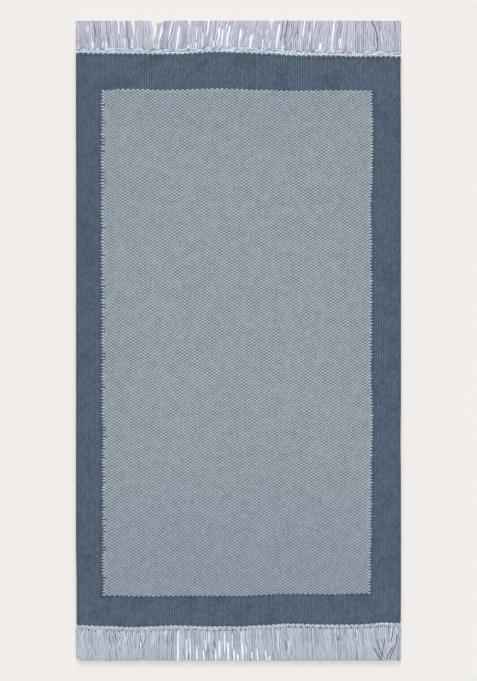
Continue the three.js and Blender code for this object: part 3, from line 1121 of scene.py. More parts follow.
@dataclass
class Lattice:
    """Where every rib and pick of the rug lies, in millimetres.

    Ribs and picks drift as waves that shift from one to the next and calm down near the edges.
    """

    width: float = 700.8
    ribs: int = 130
    left_ribs: int = 10
    right_ribs: int = 11
    picks: int = 372
    near_picks: int = 20
    far_picks: int = 23
    heading_picks: int = 2
    heading_pitch: float = 3.2
    side_cord: float = 5.3
    teeth_left: float = 4.8
    teeth_right: float = 3.8
    tooth_reach: float = 1.1
    tooth_chances: Span = (0.4, 1.5)
    spare_rows: int = 6
    join_swing: float = 0.5
    cusp_ease: float = 0.37
    cusp_settle: float = 0.09
    cusp_chances: Span = (0.3, 1.7)
    plain_lines: tuple[float, float, float, float] = (-613.0, -549.0, 541.0, 617.0)
    drift: float = 0.35
    across_wave: float = 90.0
    across_shift: float = 13.0
    across_calm: float = 2.0
    along_wave: float = 70.0
    along_shift: float = 9.0
    along_calm: float = 3.0
    seed: int = 7

    @property
    def first_field_pick(self) -> int:
        """The pick at which the field starts, from the near end."""
        return self.near_picks

    @property
    def last_field_pick(self) -> int:
        """The pick at which the field ends, from the near end."""
        return self.picks - self.far_picks

    @property
    def last_field_rib(self) -> int:
        """The rib at which the field ends, from the left."""
        return self.ribs - self.right_ribs

    def side(self, edge: Edge, along: np.ndarray) -> np.ndarray:
        """Where the rug's outer side runs across, at places along it."""
        return edge.value * (self.width / 2.0 - along_line(SIDE_INSET[edge], along))

    def plain_across(self, rib: np.ndarray) -> np.ndarray:
        """About where a rib lies across, before it wanders."""
        return (rib / self.ribs - 0.5) * (self.width - 2.0 * self.side_cord)

    def plain_along(self, pick: np.ndarray) -> np.ndarray:
        """About where a pick lies along, before it wanders."""
        stops = (0, self.first_field_pick, self.last_field_pick, self.picks)
        return np.interp(pick, stops, self.plain_lines)

    def teeth(self, rib: np.ndarray, pick: np.ndarray) -> np.ndarray:
        """How far the two yarns reach into each other at the field's sides.

        Args:
            rib: Places across, in ribs.
            pick: Places along, in picks.

        Returns:
            The shift across, in millimetres.
        """
        rows = self.picks + 2 * self.spare_rows
        chances = np.random.default_rng(self.seed).uniform(*self.tooth_chances, (2, rows))
        row = np.clip(np.round(pick).astype(int) + self.spare_rows, 0, rows - 1)
        total = np.zeros(np.broadcast(rib, pick).shape)
        joins = ((self.left_ribs, self.teeth_left), (self.last_field_rib, self.teeth_right))
        for chance, (join, length) in zip(chances, joins):
            swing = np.cos(math.pi * (pick + join)) * chance[row]
            near = np.clip(1.0 - np.abs(rib - join) / self.tooth_reach, 0.0, 1.0)
            total = total + length * swing * near
        inside = (pick > self.first_field_pick - 0.5) & (pick < self.last_field_pick + 0.5)
        return np.where(inside, total, 0.0)

    def across(self, rib: np.ndarray, pick: np.ndarray) -> np.ndarray:
        """Where points of the lattice lie across.

        Args:
            rib: Places across, in ribs.
            pick: Places along, in picks.

        Returns:
            Their X, in millimetres.
        """
        along = self.plain_along(pick)
        beyond = np.clip(np.maximum(-pick, pick - self.picks), 0.0, 1.0)
        margin = self.side_cord * (1.0 - beyond)
        left = self.side(Edge.LEFT, along) + margin
        right = self.side(Edge.RIGHT, along) - margin
        field_left = along_line(FIELD_SIDE[Edge.LEFT], along)
        field_right = along_line(FIELD_SIDE[Edge.RIGHT], along)
        first, last = self.left_ribs, self.last_field_rib
        in_left = left + (field_left - left) * rib / first
        in_field = field_left + (field_right - field_left) * (rib - first) / (last - first)
        in_right = field_right + (right - field_right) * (rib - last) / (self.ribs - last)
        placed = np.where(rib < first, in_left, np.where(rib > last, in_right, in_field))
        inner = np.clip(np.minimum(rib, self.ribs - rib) / self.across_calm, 0.0, 1.0)
        wave = ripple(along + self.across_shift * rib, self.across_wave, self.seed + 1)
        return placed + self.drift * inner * wave + self.teeth(rib, pick)

    def along(self, rib: np.ndarray, pick: np.ndarray) -> np.ndarray:
        """Where points of the lattice lie along.

        Args:
            rib: Places across, in ribs.
            pick: Places along, in picks.

        Returns:
            Their Y, in millimetres.
        """
        across = self.plain_across(rib)
        half = self.join_swing
        near_end = -along_line(CLOTH_END[End.NEAR], across)
        near_root = near_end - (self.heading_picks + half) * self.heading_pitch
        near_field = -along_line(FIELD_END[End.NEAR], across)
        far_field = along_line(FIELD_END[End.FAR], across)
        far_end = along_line(CLOTH_END[End.FAR], across)
        far_root = far_end + (self.heading_picks - half) * self.heading_pitch
        lines = (near_root, near_end, near_field, far_field, far_end, far_root)
        stops = (
            -self.heading_picks, half, self.first_field_pick + half, self.last_field_pick + half,
            self.picks + half, self.picks + self.heading_picks,
        )
        placed = lines[0]
        for low, high, start, stop in zip(lines, lines[1:], stops, stops[1:]):
            share = np.clip((pick - start) / (stop - start), 0.0, 1.0)
            placed = placed + (high - low) * share
        inner = np.clip(np.minimum(pick, self.picks - pick) / self.along_calm, 0.0, 1.0)
        wave = ripple(across + self.along_shift * pick, self.along_wave, self.seed + 2)
        return placed + self.drift * inner * wave

    def cusps(self, rib: np.ndarray, pick: np.ndarray) -> np.ndarray:
        """How far the steps of an end join are drawn in, so that each ends in a rounded cusp.

        Args:
            rib: Places across, in ribs.
            pick: Places along, in picks.

        Returns:
            The shift along, in millimetres.
        """
        total = np.zeros(np.broadcast(rib, pick).shape)
        anywhere = rib > -1.0
        in_field = (rib >= self.left_ribs) & (rib <= self.last_field_rib)
        pitch = self.heading_pitch
        chance = np.random.default_rng(self.seed + 3).uniform(*self.cusp_chances, self.ribs + 1)
        settled = self.cusp_settle * chance[np.clip(np.floor(rib).astype(int), 0, self.ribs)]
        ease = pitch * np.where(np.isclose(rib, np.round(rib)), self.cusp_ease, settled)
        for row, where in (
            (0, anywhere), (self.first_field_pick, in_field),
            (self.last_field_pick, in_field), (self.picks, anywhere),
        ):
            total = total + np.where(where & (pick == row), ease, 0.0)
            total = total - np.where(where & (pick == row + 1), ease, 0.0)
        return total


@dataclass
class Patch:
    """The beads that one yarn covers: a stretch of ribs and picks, less an inner patch."""

    ribs: tuple[int, int]
    picks: tuple[int, int]
    stepped: tuple[bool, bool] = (True, True)
    hole: Patch | None = None

    @property
    def cuts(self) -> tuple[int, ...]:
        """The picks between which the rows of the back are spaced."""
        return (self.picks[0], *self.hole.picks, self.picks[1]) if self.hole else self.picks

    def level(self, at_far: bool, rib: int) -> int:
        """The row at which the patch starts or ends on a rib, always between two beads."""
        pick = self.picks[1] if at_far else self.picks[0]
        return pick + ((pick - rib) % 2 if self.stepped[int(at_far)] else 0)

    def spans(self, rib: int) -> list[tuple[int, int]]:
        """The rows that the patch covers on a rib.

        Args:
            rib: The rib.

        Returns:
            The first row and the row past the last, for each stretch.
        """
        start, stop = self.level(False, rib), self.level(True, rib)
        if self.hole and self.hole.ribs[0] <= rib < self.hole.ribs[1]:
            return [(start, self.hole.level(False, rib)), (self.hole.level(True, rib), stop)]
        return [(start, stop)]

    def round_edge(self) -> list[list[tuple[float, float]]]:
        """Walks round the patch's outer edge on the face, anticlockwise.

        Returns:
            The four sides: near, right, far and left, each a list of (rib, pick).
        """
        first, last = self.ribs
        near, far = [], []
        for line, at_far in ((near, False), (far, True)):
            for rib in range(first, last):
                row = self.level(at_far, rib)
                line += [(rib, row), (rib + 0.5, row), (rib + 1, row)]
        rights = range(self.level(False, last - 1), self.level(True, last - 1) + 1)
        lefts = range(self.level(False, first), self.level(True, first) + 1)
        right = [(last, row) for row in rights]
        left = [(first, row) for row in lefts]
        sides = [near, right, far[::-1], left[::-1]]
        return [list(dict.fromkeys(side)) for side in sides]


class LatticeMesh:
    """Builds one closed flat mesh for a patch, with its face, its back and its walls."""

    def __init__(self, lattice: Lattice, back_step: int) -> None:
        """Starts an empty mesh.

        Args:
            lattice: Where the ribs and picks lie.
            back_step: How many picks one face of the back spans.
        """
        self.lattice = lattice
        self.back_step = back_step
        self.number: dict[tuple[float, float, int], int] = {}
        self.faces: list[tuple[int, int, int]] = []
        self.sharp: set[tuple[int, int]] = set()

    def point(self, rib: float, pick: float, side: int) -> int:
        """The number of a point, added if it is new."""
        return self.number.setdefault((float(rib), float(pick), side), len(self.number))

    def cover(self, patch: Patch) -> None:
        """Adds the whole closed mesh of a patch.

        Args:
            patch: The patch that is covered.
        """
        self.lay_face(patch)
        self.lay_back(patch)
        self.close_edges(patch)

    def lay_face(self, patch: Patch) -> None:
        """Adds the face, two columns of triangles to a rib, split so that each bead is a diamond.

        Args:
            patch: The patch that is covered.
        """
        for rib in range(*patch.ribs):
            for start, stop in patch.spans(rib):
                for row in range(start, stop):
                    low_is_dip = (row - rib) % 2 == 0
                    for left in (rib, rib + 0.5):
                        crest_right = left == rib
                        a = self.point(left, row, 1)
                        b = self.point(left + 0.5, row, 1)
                        c = self.point(left + 0.5, row + 1, 1)
                        d = self.point(left, row + 1, 1)
                        if low_is_dip == crest_right:
                            self.faces += [(a, b, d), (b, c, d)]
                        else:
                            self.faces += [(a, b, c), (a, c, d)]

    def back_rows(self, start: float, stop: float) -> list[float]:
        """The rows of the back between two picks."""
        count = max(1, round((stop - start) / self.back_step))
        return [start + (stop - start) * step / count for step in range(count + 1)]

    def lay_back(self, patch: Patch) -> None:
        """Adds the back, plain ribs facing down.

        Args:
            patch: The patch that is covered.
        """
        hole = patch.hole
        for start, stop in zip(patch.cuts, patch.cuts[1:]):
            rows = self.back_rows(start, stop)
            in_hole = hole is not None and (start, stop) == hole.picks
            for rib in range(*patch.ribs):
                if in_hole and hole.ribs[0] <= rib < hole.ribs[1]:
                    continue
                for left in (rib, rib + 0.5):
                    for low, high in zip(rows, rows[1:]):
                        a = self.point(left, low, -1)
                        b = self.point(left + 0.5, low, -1)
                        c = self.point(left + 0.5, high, -1)
                        d = self.point(left, high, -1)
                        self.faces += [(a, c, b), (a, d, c)]

    def back_edge(self, patch: Patch) -> list[list[tuple[float, float]]]:
        """Walks round a patch's edge on the back, anticlockwise.

        Args:
            patch: The patch, or the hole in it.

        Returns:
            The four sides: near, right, far and left, each a list of (rib, pick).
        """
        first, last = patch.ribs
        across = [first + 0.5 * step for step in range(2 * (last - first) + 1)]
        start, stop = patch.picks
        rows: list[float] = []
        for low, high in zip(patch.cuts, patch.cuts[1:]):
            rows += self.back_rows(low, high)
        rows = list(dict.fromkeys(rows))
        near = [(rib, start) for rib in across]
        right = [(last, row) for row in rows]
        far = [(rib, stop) for rib in reversed(across)]
        left = [(first, row) for row in reversed(rows)]
        return [near, right, far, left]

    def raise_wall(self, face: list[tuple[float, float]], back: list[tuple[float, float]],
                   axis: int, inward: bool) -> None:
        """Joins one side of the face to the same side of the back.

        Args:
            face: The side's points on the face, walked anticlockwise.
            back: The side's points on the back, walked the same way.
            axis: 0 where the side runs across, 1 where it runs along.
            inward: True round a hole, whose wall faces into it.
        """
        tops = [self.point(*place, 1) for place in face]
        lows = [self.point(*place, -1) for place in back]
        sign = 1.0 if face[-1][axis] >= face[0][axis] else -1.0
        i = j = 0
        while i < len(tops) - 1 or j < len(lows) - 1:
            rise = i < len(tops) - 1
            if rise and j < len(lows) - 1:
                rise = sign * face[i + 1][axis] <= sign * back[j + 1][axis]
            if rise:
                corner = (lows[j], tops[i + 1], tops[i])
                self.sharp.add((tops[i], tops[i + 1]))
                i += 1
            else:
                corner = (lows[j], lows[j + 1], tops[i])
                self.sharp.add((lows[j], lows[j + 1]))
                j += 1
            self.faces.append(corner[::-1] if inward else corner)

    def close_edges(self, patch: Patch) -> None:
        """Adds the walls round the patch, and round its hole.

        Args:
            patch: The patch that is covered.
        """
        rims = [(patch, False)]
        if patch.hole:
            rims.append((patch.hole, True))
        for rim, inward in rims:
            sides = zip(rim.round_edge(), self.back_edge(rim))
            for index, (top, low) in enumerate(sides):
                self.raise_wall(top, low, index % 2, inward)

    def seedling(self, name: str, middle: float) -> bpy.types.Object:
        """Makes the flat mesh, with the lattice place of each point.

        Args:
            name: The object's name.
            middle: The height of the mesh, in millimetres.

        Returns:
            The object, not yet raised.
        """
        keys = np.array(list(self.number), float)
        rib, pick, side = keys.T
        x = self.lattice.across(rib, pick)
        y = self.lattice.along(rib, pick)
        y = y + np.where(side > 0.0, self.lattice.cusps(rib, pick), 0.0)
        points = np.stack([x, y, np.full_like(x, middle)], axis=1) * MM
        mesh = bpy.data.meshes.new(name)
        mesh.from_pydata(points.tolist(), [], self.faces)
        place = mesh.attributes.new(PLACE, "FLOAT_VECTOR", "POINT")
        place.data.foreach_set("vector", keys.astype(np.float32).ravel())
        corners = np.zeros(len(mesh.loops), np.int32)
        mesh.loops.foreach_get("vertex_index", corners)
        layer = mesh.uv_layers.new(name=WEAVE_MAP)
        layer.data.foreach_set("uv", keys[corners, :2].astype(np.float32).ravel())
        self.sharpen(mesh)
        return show(mesh, name)

    def sharpen(self, mesh: bpy.types.Mesh) -> None:
        """Keeps the face's shading apart from the walls'.

        Args:
            mesh: The flat mesh.
        """
        ends = np.zeros(len(mesh.edges) * 2, np.int32)
        mesh.edges.foreach_get("vertices", ends)
        wanted = {tuple(sorted(pair)) for pair in self.sharp}
        flags = [tuple(sorted(pair)) in wanted for pair in ends.reshape(-1, 2).tolist()]
        mark = mesh.attributes.new("sharp_edge", "BOOLEAN", "EDGE")
        mark.data.foreach_set("value", flags)


def merge(meshes: Sequence[bpy.types.Mesh], name: str) -> bpy.types.Object:
    """Joins finished meshes into one piece.

    Args:
        meshes: The meshes, the first of which keeps its layers.
        name: The piece's name.

    Returns:
        The piece.
    """
    parts = [show(mesh, f"{name}_{index}") for index, mesh in enumerate(meshes)]
    for part in parts:
        part.select_set(True)
    bpy.context.view_layer.objects.active = parts[0]
    with bpy.context.temp_override(
        active_object=parts[0], selected_editable_objects=parts, selected_objects=parts
    ):
        bpy.ops.object.join()
    piece = parts[0]
    piece.select_set(False)
    piece.name = name
    piece.data.name = name
    return piece


def chains(name: str, laid: Sequence[Laid]) -> bpy.types.Object:
    """Makes an object of chains of edges, with numbers on their points.

    Args:
        name: The object's name.
        laid: Each chain's points in millimetres, with its girth, tone and share along it.

    Returns:
        The object.
    """
    points = np.concatenate([line for line, _ in laid]) * MM
    edges: list[tuple[int, int]] = []
    start = 0
    for line, _ in laid:
        edges += [(start + step, start + step + 1) for step in range(len(line) - 1)]
        start += len(line)
    mesh = bpy.data.meshes.new(name)
    mesh.from_pydata(points.tolist(), edges, [])
    for label in (GIRTH, TONE, ALONG):
        values = np.concatenate([numbers[label] for _, numbers in laid]).astype(np.float32)
        mesh.attributes.new(label, "FLOAT", "POINT").data.foreach_set("value", values)
    return show(mesh, name)


@dataclass
class Cloth:
    """The woven cloth: the field, and the border all round it."""

    lattice: Lattice
    growth: GrowthTree
    field_yarn: bpy.types.Material
    border_yarn: bpy.types.Material
    middle: float = 3.1
    half_thickness: float = 3.2
    field_valley: float = 0.6
    field_dip: float = 0.55
    border_valley: float = 0.55
    border_dip: float = 0.95
    unevenness: float = 0.12
    back_step: int = 4

    def patches(self) -> tuple[Patch, Patch]:
        """The lattice's stretches of field and of border.

        Returns:
            The field's patch and the border's, which has the field as its hole.
        """
        plan = self.lattice
        inner = Patch(
            (plan.left_ribs, plan.last_field_rib), (plan.first_field_pick, plan.last_field_pick)
        )
        return inner, Patch((0, plan.ribs), (0, plan.picks), hole=inner)

    def weave(self, name: str, patch: Patch, yarn: bpy.types.Material, valley: float,
              dip: float) -> bpy.types.Object:
        """Weaves one patch.

        Args:
            name: The piece's name.
            patch: The beads that it covers.
            yarn: Its material.
            valley: Its height between ribs, as a share of the crest's.
            dip: Its height between beads, as a share of the crest's.

        Returns:
            The piece.
        """
        flat = LatticeMesh(self.lattice, self.back_step)
        flat.cover(patch)
        sizes = {
            "Half Thickness": self.half_thickness * MM, "Valley": valley, "Dip": dip,
            "Unevenness": self.unevenness, "Seed": self.lattice.seed,
        }
        return show(self.growth.grow(flat.seedling(name, self.middle), yarn, sizes), name)

    def build(self) -> tuple[bpy.types.Object, bpy.types.Object]:
        """Weaves both pieces.

        Returns:
            The field and the border.
        """
        inner, outer = self.patches()
        woven_field = self.weave(
            "woven_field", inner, self.field_yarn, self.field_valley, self.field_dip
        )
        border = self.weave(
            "woven_border", outer, self.border_yarn, self.border_valley, self.border_dip
        )
        return woven_field, border


@dataclass
class Selvedge:
    """The corded long edge, where every weft turns round the outermost warps."""

    edge: Edge
    lattice: Lattice
    growth: GrowthTree
    yarn: bpy.types.Material
    half_width: float = 3.3
    wrap_swell: float = 0.07
    points_per_wrap: int = 4
    sides: int = 10
    end_inset: float = 0.5
    floor_gap: float = 0.05
    tones: Span = (0.2, 1.0)
    # How much painted shade darkens each wrap towards the crease between wraps.
    painted_wrap_shade: float = 0.4
    seed: int = 31

    def build(self) -> bpy.types.Object:
        """Makes the cord.

        Returns:
            The piece.
        """
        plan = self.lattice
        wraps = plan.picks // 2
        step = np.linspace(0.0, 1.0, wraps * self.points_per_wrap + 1)
        corner = self.edge.value * plan.width / 2.0
        start = -value_at(CLOTH_END[End.NEAR], corner)
        stop = value_at(CLOTH_END[End.FAR], corner)
        y = start + self.end_inset + (stop - start - 2.0 * self.end_inset) * step
        x = plan.side(self.edge, y) - self.edge.value * self.half_width
        beat = np.cos(math.tau * step * wraps)
        girth = self.half_width * (1.0 - self.wrap_swell * (0.5 - 0.5 * beat)) * MM
        line = np.stack([x, y, np.full_like(x, self.half_width + self.floor_gap)], axis=1)
        chance = np.random.default_rng(self.seed + self.edge.value).uniform(*self.tones, wraps + 1)
        # Painted shade: each wrap is darker towards the creases on either side.
        tone = chance[(step * wraps).astype(int)] * (1.0 - self.painted_wrap_shade + self.painted_wrap_shade * beat)
        name = f"selvedge_{self.edge.name.lower()}"
        seed = chains(name, [(line, {GIRTH: girth, TONE: tone, ALONG: np.zeros_like(x)})])
        sizes = {"Sides": self.sides, "Flatness": 1.0}
        return show(self.growth.grow(seed, self.yarn, sizes), name)


@dataclass
class Heading:
    """The band of pale yarn at one end: picks that lock into the cloth, then rows of knotted loops."""

    end: End
    lattice: Lattice
    weave: GrowthTree
    loops: GrowthTree
    yarn: bpy.types.Material
    knots: int = 52
    middle: float = 2.3
    half_thickness: float = 2.3
    valley: float = 0.7
    dip: float = 0.75
    unevenness: float = 0.15
    back_step: int = 2
    pale_reach: float = 2.4
    band_tones: Span = (0.35, 0.85)
    side_margin: float = 2.5
    across_stray: float = 0.8
    height_stray: float = 0.2
    slant_stray_deg: float = 16.0
    swells: Span = (0.8, 1.15)
    segments: int = 10
    rings: int = 7
    relief_seed: int = 5
    tone_seed: int = 6
    seed: int = 50
    seed_step: int = 7

    def band(self) -> bpy.types.Mesh:
        """Weaves the picks of the band.

        Returns:
            The mesh.
        """
        plan = self.lattice
        if self.end is End.FAR:
            picks, stepped = (plan.picks, plan.picks + plan.heading_picks), (True, False)
        else:
            picks, stepped = (-plan.heading_picks, 0), (False, True)
        patch = Patch((0, plan.ribs), picks, stepped)
        flat = LatticeMesh(plan, self.back_step)
        flat.cover(patch)
        sizes = {
            "Half Thickness": self.half_thickness * MM, "Valley": self.valley, "Dip": self.dip,
            "Unevenness": self.unevenness, "Seed": plan.seed + self.relief_seed,
        }
        name = f"band_{self.end.name.lower()}"
        grown = self.weave.grow(flat.seedling(name, self.middle), self.yarn, sizes)
        tone = grown.attributes.new(TONE, "FLOAT", "POINT")
        spots = np.array([vertex.co for vertex in grown.vertices]) / MM
        beyond = np.abs(spots[:, 1]) - along_line(CLOTH_END[self.end], spots[:, 0])
        chance = np.random.default_rng(plan.seed + self.tone_seed)
        shades = chance.uniform(*self.band_tones, len(spots))
        shades = np.where(beyond < self.pale_reach, 1.0, shades)
        tone.data.foreach_set("value", shades.astype(np.float32))
        return grown

    def knot_row(self, style: LoopStyle, index: int) -> bpy.types.Mesh:
        """Makes one row of slanted loops.

        Args:
            style: How they lie and how big they are.
            index: The row's number.

        Returns:
            The mesh.
        """
        chance = np.random.default_rng(self.seed + self.seed_step * index + self.end.value)
        half = self.lattice.width / 2.0
        count = self.knots * style.per_knot
        place = (np.arange(count) + 0.5 + style.offset) * (self.lattice.width / count) - half
        reach = np.full(count, style.reach)
        # The hollow rows are dark blobs of painted shade between knots.
        if style.is_hollow_shade:
            shown = along_line(HOLLOWS[self.end], place) > chance.uniform(0.0, 1.0, count)
            reach = reach + along_line(HOLLOW_REACH[self.end], place)
            place, reach = place[shown], reach[shown]
        inside = np.abs(place) < half - self.side_margin
        place, reach = place[inside], reach[inside]
        count = len(place)
        x = place + chance.uniform(-self.across_stray, self.across_stray, count)
        reach = reach + along_line(CLOTH_END[self.end], x)
        reach = reach + chance.uniform(-style.stray, style.stray, count)
        height = style.height + chance.uniform(-self.height_stray, self.height_stray, count)
        slant = chance.uniform(-self.slant_stray_deg, self.slant_stray_deg, count)
        slant = -np.radians(style.slant_deg + slant)
        swell = chance.uniform(*self.swells, count)
        size = np.outer(swell, (style.half_width, style.half_length, style.half_height)) * MM
        tone = chance.uniform(style.low_tone, style.high_tone, count)
        points = np.stack([x, self.end.value * reach, height], axis=1) * MM
        name = f"knots_{self.end.name.lower()}_{index}"
        mesh = bpy.data.meshes.new(name)
        mesh.from_pydata(points.tolist(), [], [])
        for label, kind, key, numbers in (
            (SLANT, "FLOAT", "value", slant), (LOOP, "FLOAT_VECTOR", "vector", size.ravel()),
            (TONE, "FLOAT", "value", tone),
        ):
            layer = mesh.attributes.new(label, kind, "POINT")
            layer.data.foreach_set(key, numbers.astype(np.float32))
        sizes = {"Segments": self.segments, "Rings": self.rings}
        return self.loops.grow(show(mesh, name), self.yarn, sizes)

    def build(self) -> bpy.types.Object:
        """Makes the heading."""
        rows = [self.knot_row(style, index) for index, style in enumerate(LOOP_ROWS[self.end])]
        return merge([self.band(), *rows], f"heading_{self.end.name.lower()}")


class Layer(NamedTuple):
    """One layer of a fringe's strands. If it bridges partings up to a width, it bridges all slits."""

    per_knot: int
    height: float
    radius: float
    low_tone: float
    high_tone: float
    gathered: float
    points: int
    bridged: float = 0.0


@dataclass
class Fringe:
    """The fringe at one end: flat soft cords in three layers, parted where they were combed."""

    end: End
    lattice: Lattice
    growth: GrowthTree
    yarn: bpy.types.Material
    knots: int = 52
    # Lower layers take lower tones as painted shade under the top strands, and top tones past 1.2 take
    # in the painted highlight.
    layers: tuple[Layer, ...] = (
        Layer(3, 1.0, 3.5, 0.1, 0.6, 0.25, 18),
        Layer(3, 2.0, 1.75, 0.24, 1.42, 1.0, 24),
        Layer(5, 0.6, 1.65, 0.3, 0.7, 0.0, 9, 1.5),
    )
    sides: int = 8
    flatness: float = 0.36
    girths: Span = (0.9, 1.08)
    taper: float = 0.1
    root_stray: float = 0.6
    root_length: float = 0.32
    root_pinch: float = 0.12
    pinch_length: float = 0.08
    # Painted shade on the strands' roots, under the heading's loops, and how far along it fades.
    painted_root_shade: float = 0.2
    shade_length: float = 0.04
    tip_reach: float = 690.0
    tip_stray: float = 1.4
    tip_taper: float = 0.1
    tip_share: float = 0.99
    lean_power: float = 1.3
    gap_reach: float = 26.0
    gap_packing: float = 0.8
    slit_power: float = 0.5
    straight_edge: float = 30.0
    tangle_stray: float = 0.55
    tangle_power: float = 1.2
    sway_length: float = 36.0
    sway_start: float = 0.25
    phase_length: float = 24.0
    phase_swing: float = 2.4
    phase_wave: float = 70.0
    own_sway: float = 0.25
    own_tangle: float = 0.22
    own_lengths: Span = (26.0, 46.0)
    own_start: float = 0.3
    own_lift: float = 0.25
    own_waves: float = 1.4
    thread_radius: float = 0.75
    thread_rise: float = 0.7
    thread_points: int = 14
    # The tone that gives the pale threads the painted highlight colour.
    highlight_tone: float = 2.0
    pale_points: int = 16
    pale_first: float = 0.03
    pale_tuck: float = 0.03
    pale_short: float = 0.5
    pale_narrow: float = 0.65
    pale_apart: float = 0.55
    pale_widest: float = 3.0
    pale_height: float = 1.8
    pale_sink: float = 0.8
    seed: int = 90

    def root_line(self, x: np.ndarray) -> np.ndarray:
        """How far out the strands start, at places across."""
        return along_line(CLOTH_END[self.end], x) + ROOT_COVER[self.end]

    def root_rise(self, share: np.ndarray) -> np.ndarray:
        """How much higher the strands lie near their roots, by the share of the way."""
        return ROOT_RISE[self.end] * np.exp(-((share / self.root_length) ** 2))

    def shorter(self, root: float) -> float:
        """How much earlier than the rest a strand ends, by its root's place across."""
        shorts = (mark for mark in SHORTS[self.end] if abs(root - mark.place) < mark.width / 2.0)
        return max((mark.short for mark in shorts), default=0.0)

    def slit_middle(self, slit: Slit, share: np.ndarray) -> np.ndarray:
        """Where the middle of a slit runs across, at each share of the way to the tips."""
        middle = min(1.0, (slit.starts + slit.stops) / 2.0)
        tilt = value_at(LEAN[self.end], slit.place)
        return slit.place + tilt * (share**self.lean_power - middle**self.lean_power)

    def lean_aside(self, offset: float, opening: np.ndarray, radius: float) -> np.ndarray:
        """How far a strand leans away from a wide parting, less and less further off."""
        room = opening / 2.0 + self.gap_packing * radius * np.clip(opening, 0.0, 1.0)
        return math.copysign(1.0, offset) * room * math.exp(-abs(offset) / self.gap_reach)

    def squeeze_aside(self, offset: float, opening: np.ndarray, radius: float) -> np.ndarray:
        """How far a strand is pushed off a narrow slit, packing closer against its neighbours.

        Args:
            offset: How far its root lies from the slit.
            opening: How wide the slit is along the strand.
            radius: Half the strand's width.

        Returns:
            The shift across, along the strand.
        """
        room = opening / 2.0 + radius * np.clip(opening, 0.0, 1.0)
        apart = np.cbrt(abs(offset) ** 3 + room**3)
        return math.copysign(1.0, offset) * (apart - abs(offset))

    def course(self, root: float, share: np.ndarray, layer: Layer) -> np.ndarray:
        """Where a strand runs across, with the lean, partings and gathers of its neighbourhood.

        Args:
            root: Where it starts across.
            share: Shares of the way to its tip.
            layer: Its layer.

        Returns:
            Its X at each share.
        """
        half = self.lattice.width / 2.0
        pitch = self.lattice.width / self.knots
        x = root + value_at(LEAN[self.end], root) * share**self.lean_power
        gaps = [gap for gap in GAPS[self.end] if gap.opening > layer.bridged]
        for gap in gaps:
            place = -half + gap.after_knot * pitch
            opening = gap.opening * eased((share - gap.starts) / (1.0 - gap.starts))
            x = x + self.lean_aside(root - place, opening, layer.radius)
        slits = () if layer.bridged else SLITS[self.end]
        for slit in slits:
            place = float(self.slit_middle(slit, np.zeros(1))[0])
            part = np.clip((share - slit.starts) / (slit.stops - slit.starts), 0.0, 1.0)
            opening = slit.opening * np.sin(math.pi * part) ** self.slit_power
            x = x + self.squeeze_aside(root - place, opening, layer.radius)
        for gather in GATHERS[self.end]:
            offset = (root - gather.place) / gather.width
            inner = float(eased((half - abs(root)) / self.straight_edge))
            pull = gather.pull * layer.gathered * inner
            x = x - pull * offset * math.exp(-offset * offset) * share * share
        return x

    def strand(self, root: float, layer: Layer, chance: np.random.Generator) -> Laid:
        """Lays one strand.

        Args:
            root: Where it starts across.
            layer: Its layer.
            chance: The source of its own unevenness.

        Returns:
            Its points in millimetres, and the girth, tone and share along it.
        """
        share = np.linspace(0.0, 1.0, layer.points)
        spot = np.array([root])
        start = float(self.root_line(spot)[0])
        tip = self.tip_reach - chance.uniform(0.0, self.tip_stray) - self.shorter(root)
        reach = start + (tip - start) * share
        x = self.course(root, share, layer)
        tangle = value_at(TANGLE[self.end], root) * layer.gathered
        x = x + tangle * chance.normal(0.0, self.tangle_stray) * share**self.tangle_power
        swing = float(ripple(spot, self.phase_wave, self.seed)[0])
        phase = root / self.phase_length + self.phase_swing * swing
        wave = np.sin(math.tau * reach / self.sway_length + phase)
        sway = value_at(SWAY[self.end], root)
        x = x + sway * (wave - wave[0]) * eased(share / self.sway_start)
        own = chance.uniform(0.0, math.tau)
        ripples = np.sin(math.tau * reach / chance.uniform(*self.own_lengths) + own)
        x = x + (self.own_sway + self.own_tangle * tangle) * ripples * eased(share / self.own_start)
        side = self.lattice.width / 2.0 - layer.radius
        x = np.clip(x, -side, side)
        girth = layer.radius * chance.uniform(*self.girths)
        girth = girth * (1.0 - self.root_pinch * np.exp(-share / self.pinch_length))
        girth = girth * (1.0 - self.taper * share)
        girth = girth * (1.0 - self.tip_taper * (share > self.tip_share))
        lift = layer.height + self.root_rise(share)
        lift = lift + self.own_lift * np.sin(math.tau * share * self.own_waves + own)
        lift = np.maximum(lift, girth * self.flatness)
        # Painted shade near the root, by a random share for each strand.
        root_shade_share = chance.uniform(0.0, 1.0) * np.exp(-((share / self.shade_length) ** 2))
        tone = chance.uniform(layer.low_tone, layer.high_tone) * (1.0 - self.painted_root_shade * root_shade_share)
        line = np.stack([x, self.end.value * reach, lift], axis=1)
        return line, {GIRTH: girth * MM, TONE: tone, ALONG: share}

    def loose(self, thread: Thread) -> Laid:
        """Lays one loose dark thread over the strands, partly standing in for a painted shadow line.

        Args:
            thread: Where it runs.

        Returns:
            Its points in millimetres, and the girth, tone and share along it.
        """
        share = np.linspace(thread.shares[0], thread.shares[-1], self.thread_points)
        x = np.interp(share, thread.shares, thread.places)
        start = self.root_line(x)
        reach = start + (self.tip_reach - start) * share
        top = max(layer.height for layer in self.layers)
        lift = top + self.thread_rise + self.root_rise(share)
        line = np.stack([x, self.end.value * reach, lift], axis=1)
        girth = np.full_like(share, self.thread_radius * MM)
        # A tone of 0 gives the thread the painted deep shade colour.
        return line, {GIRTH: girth, TONE: np.zeros_like(share), ALONG: share}

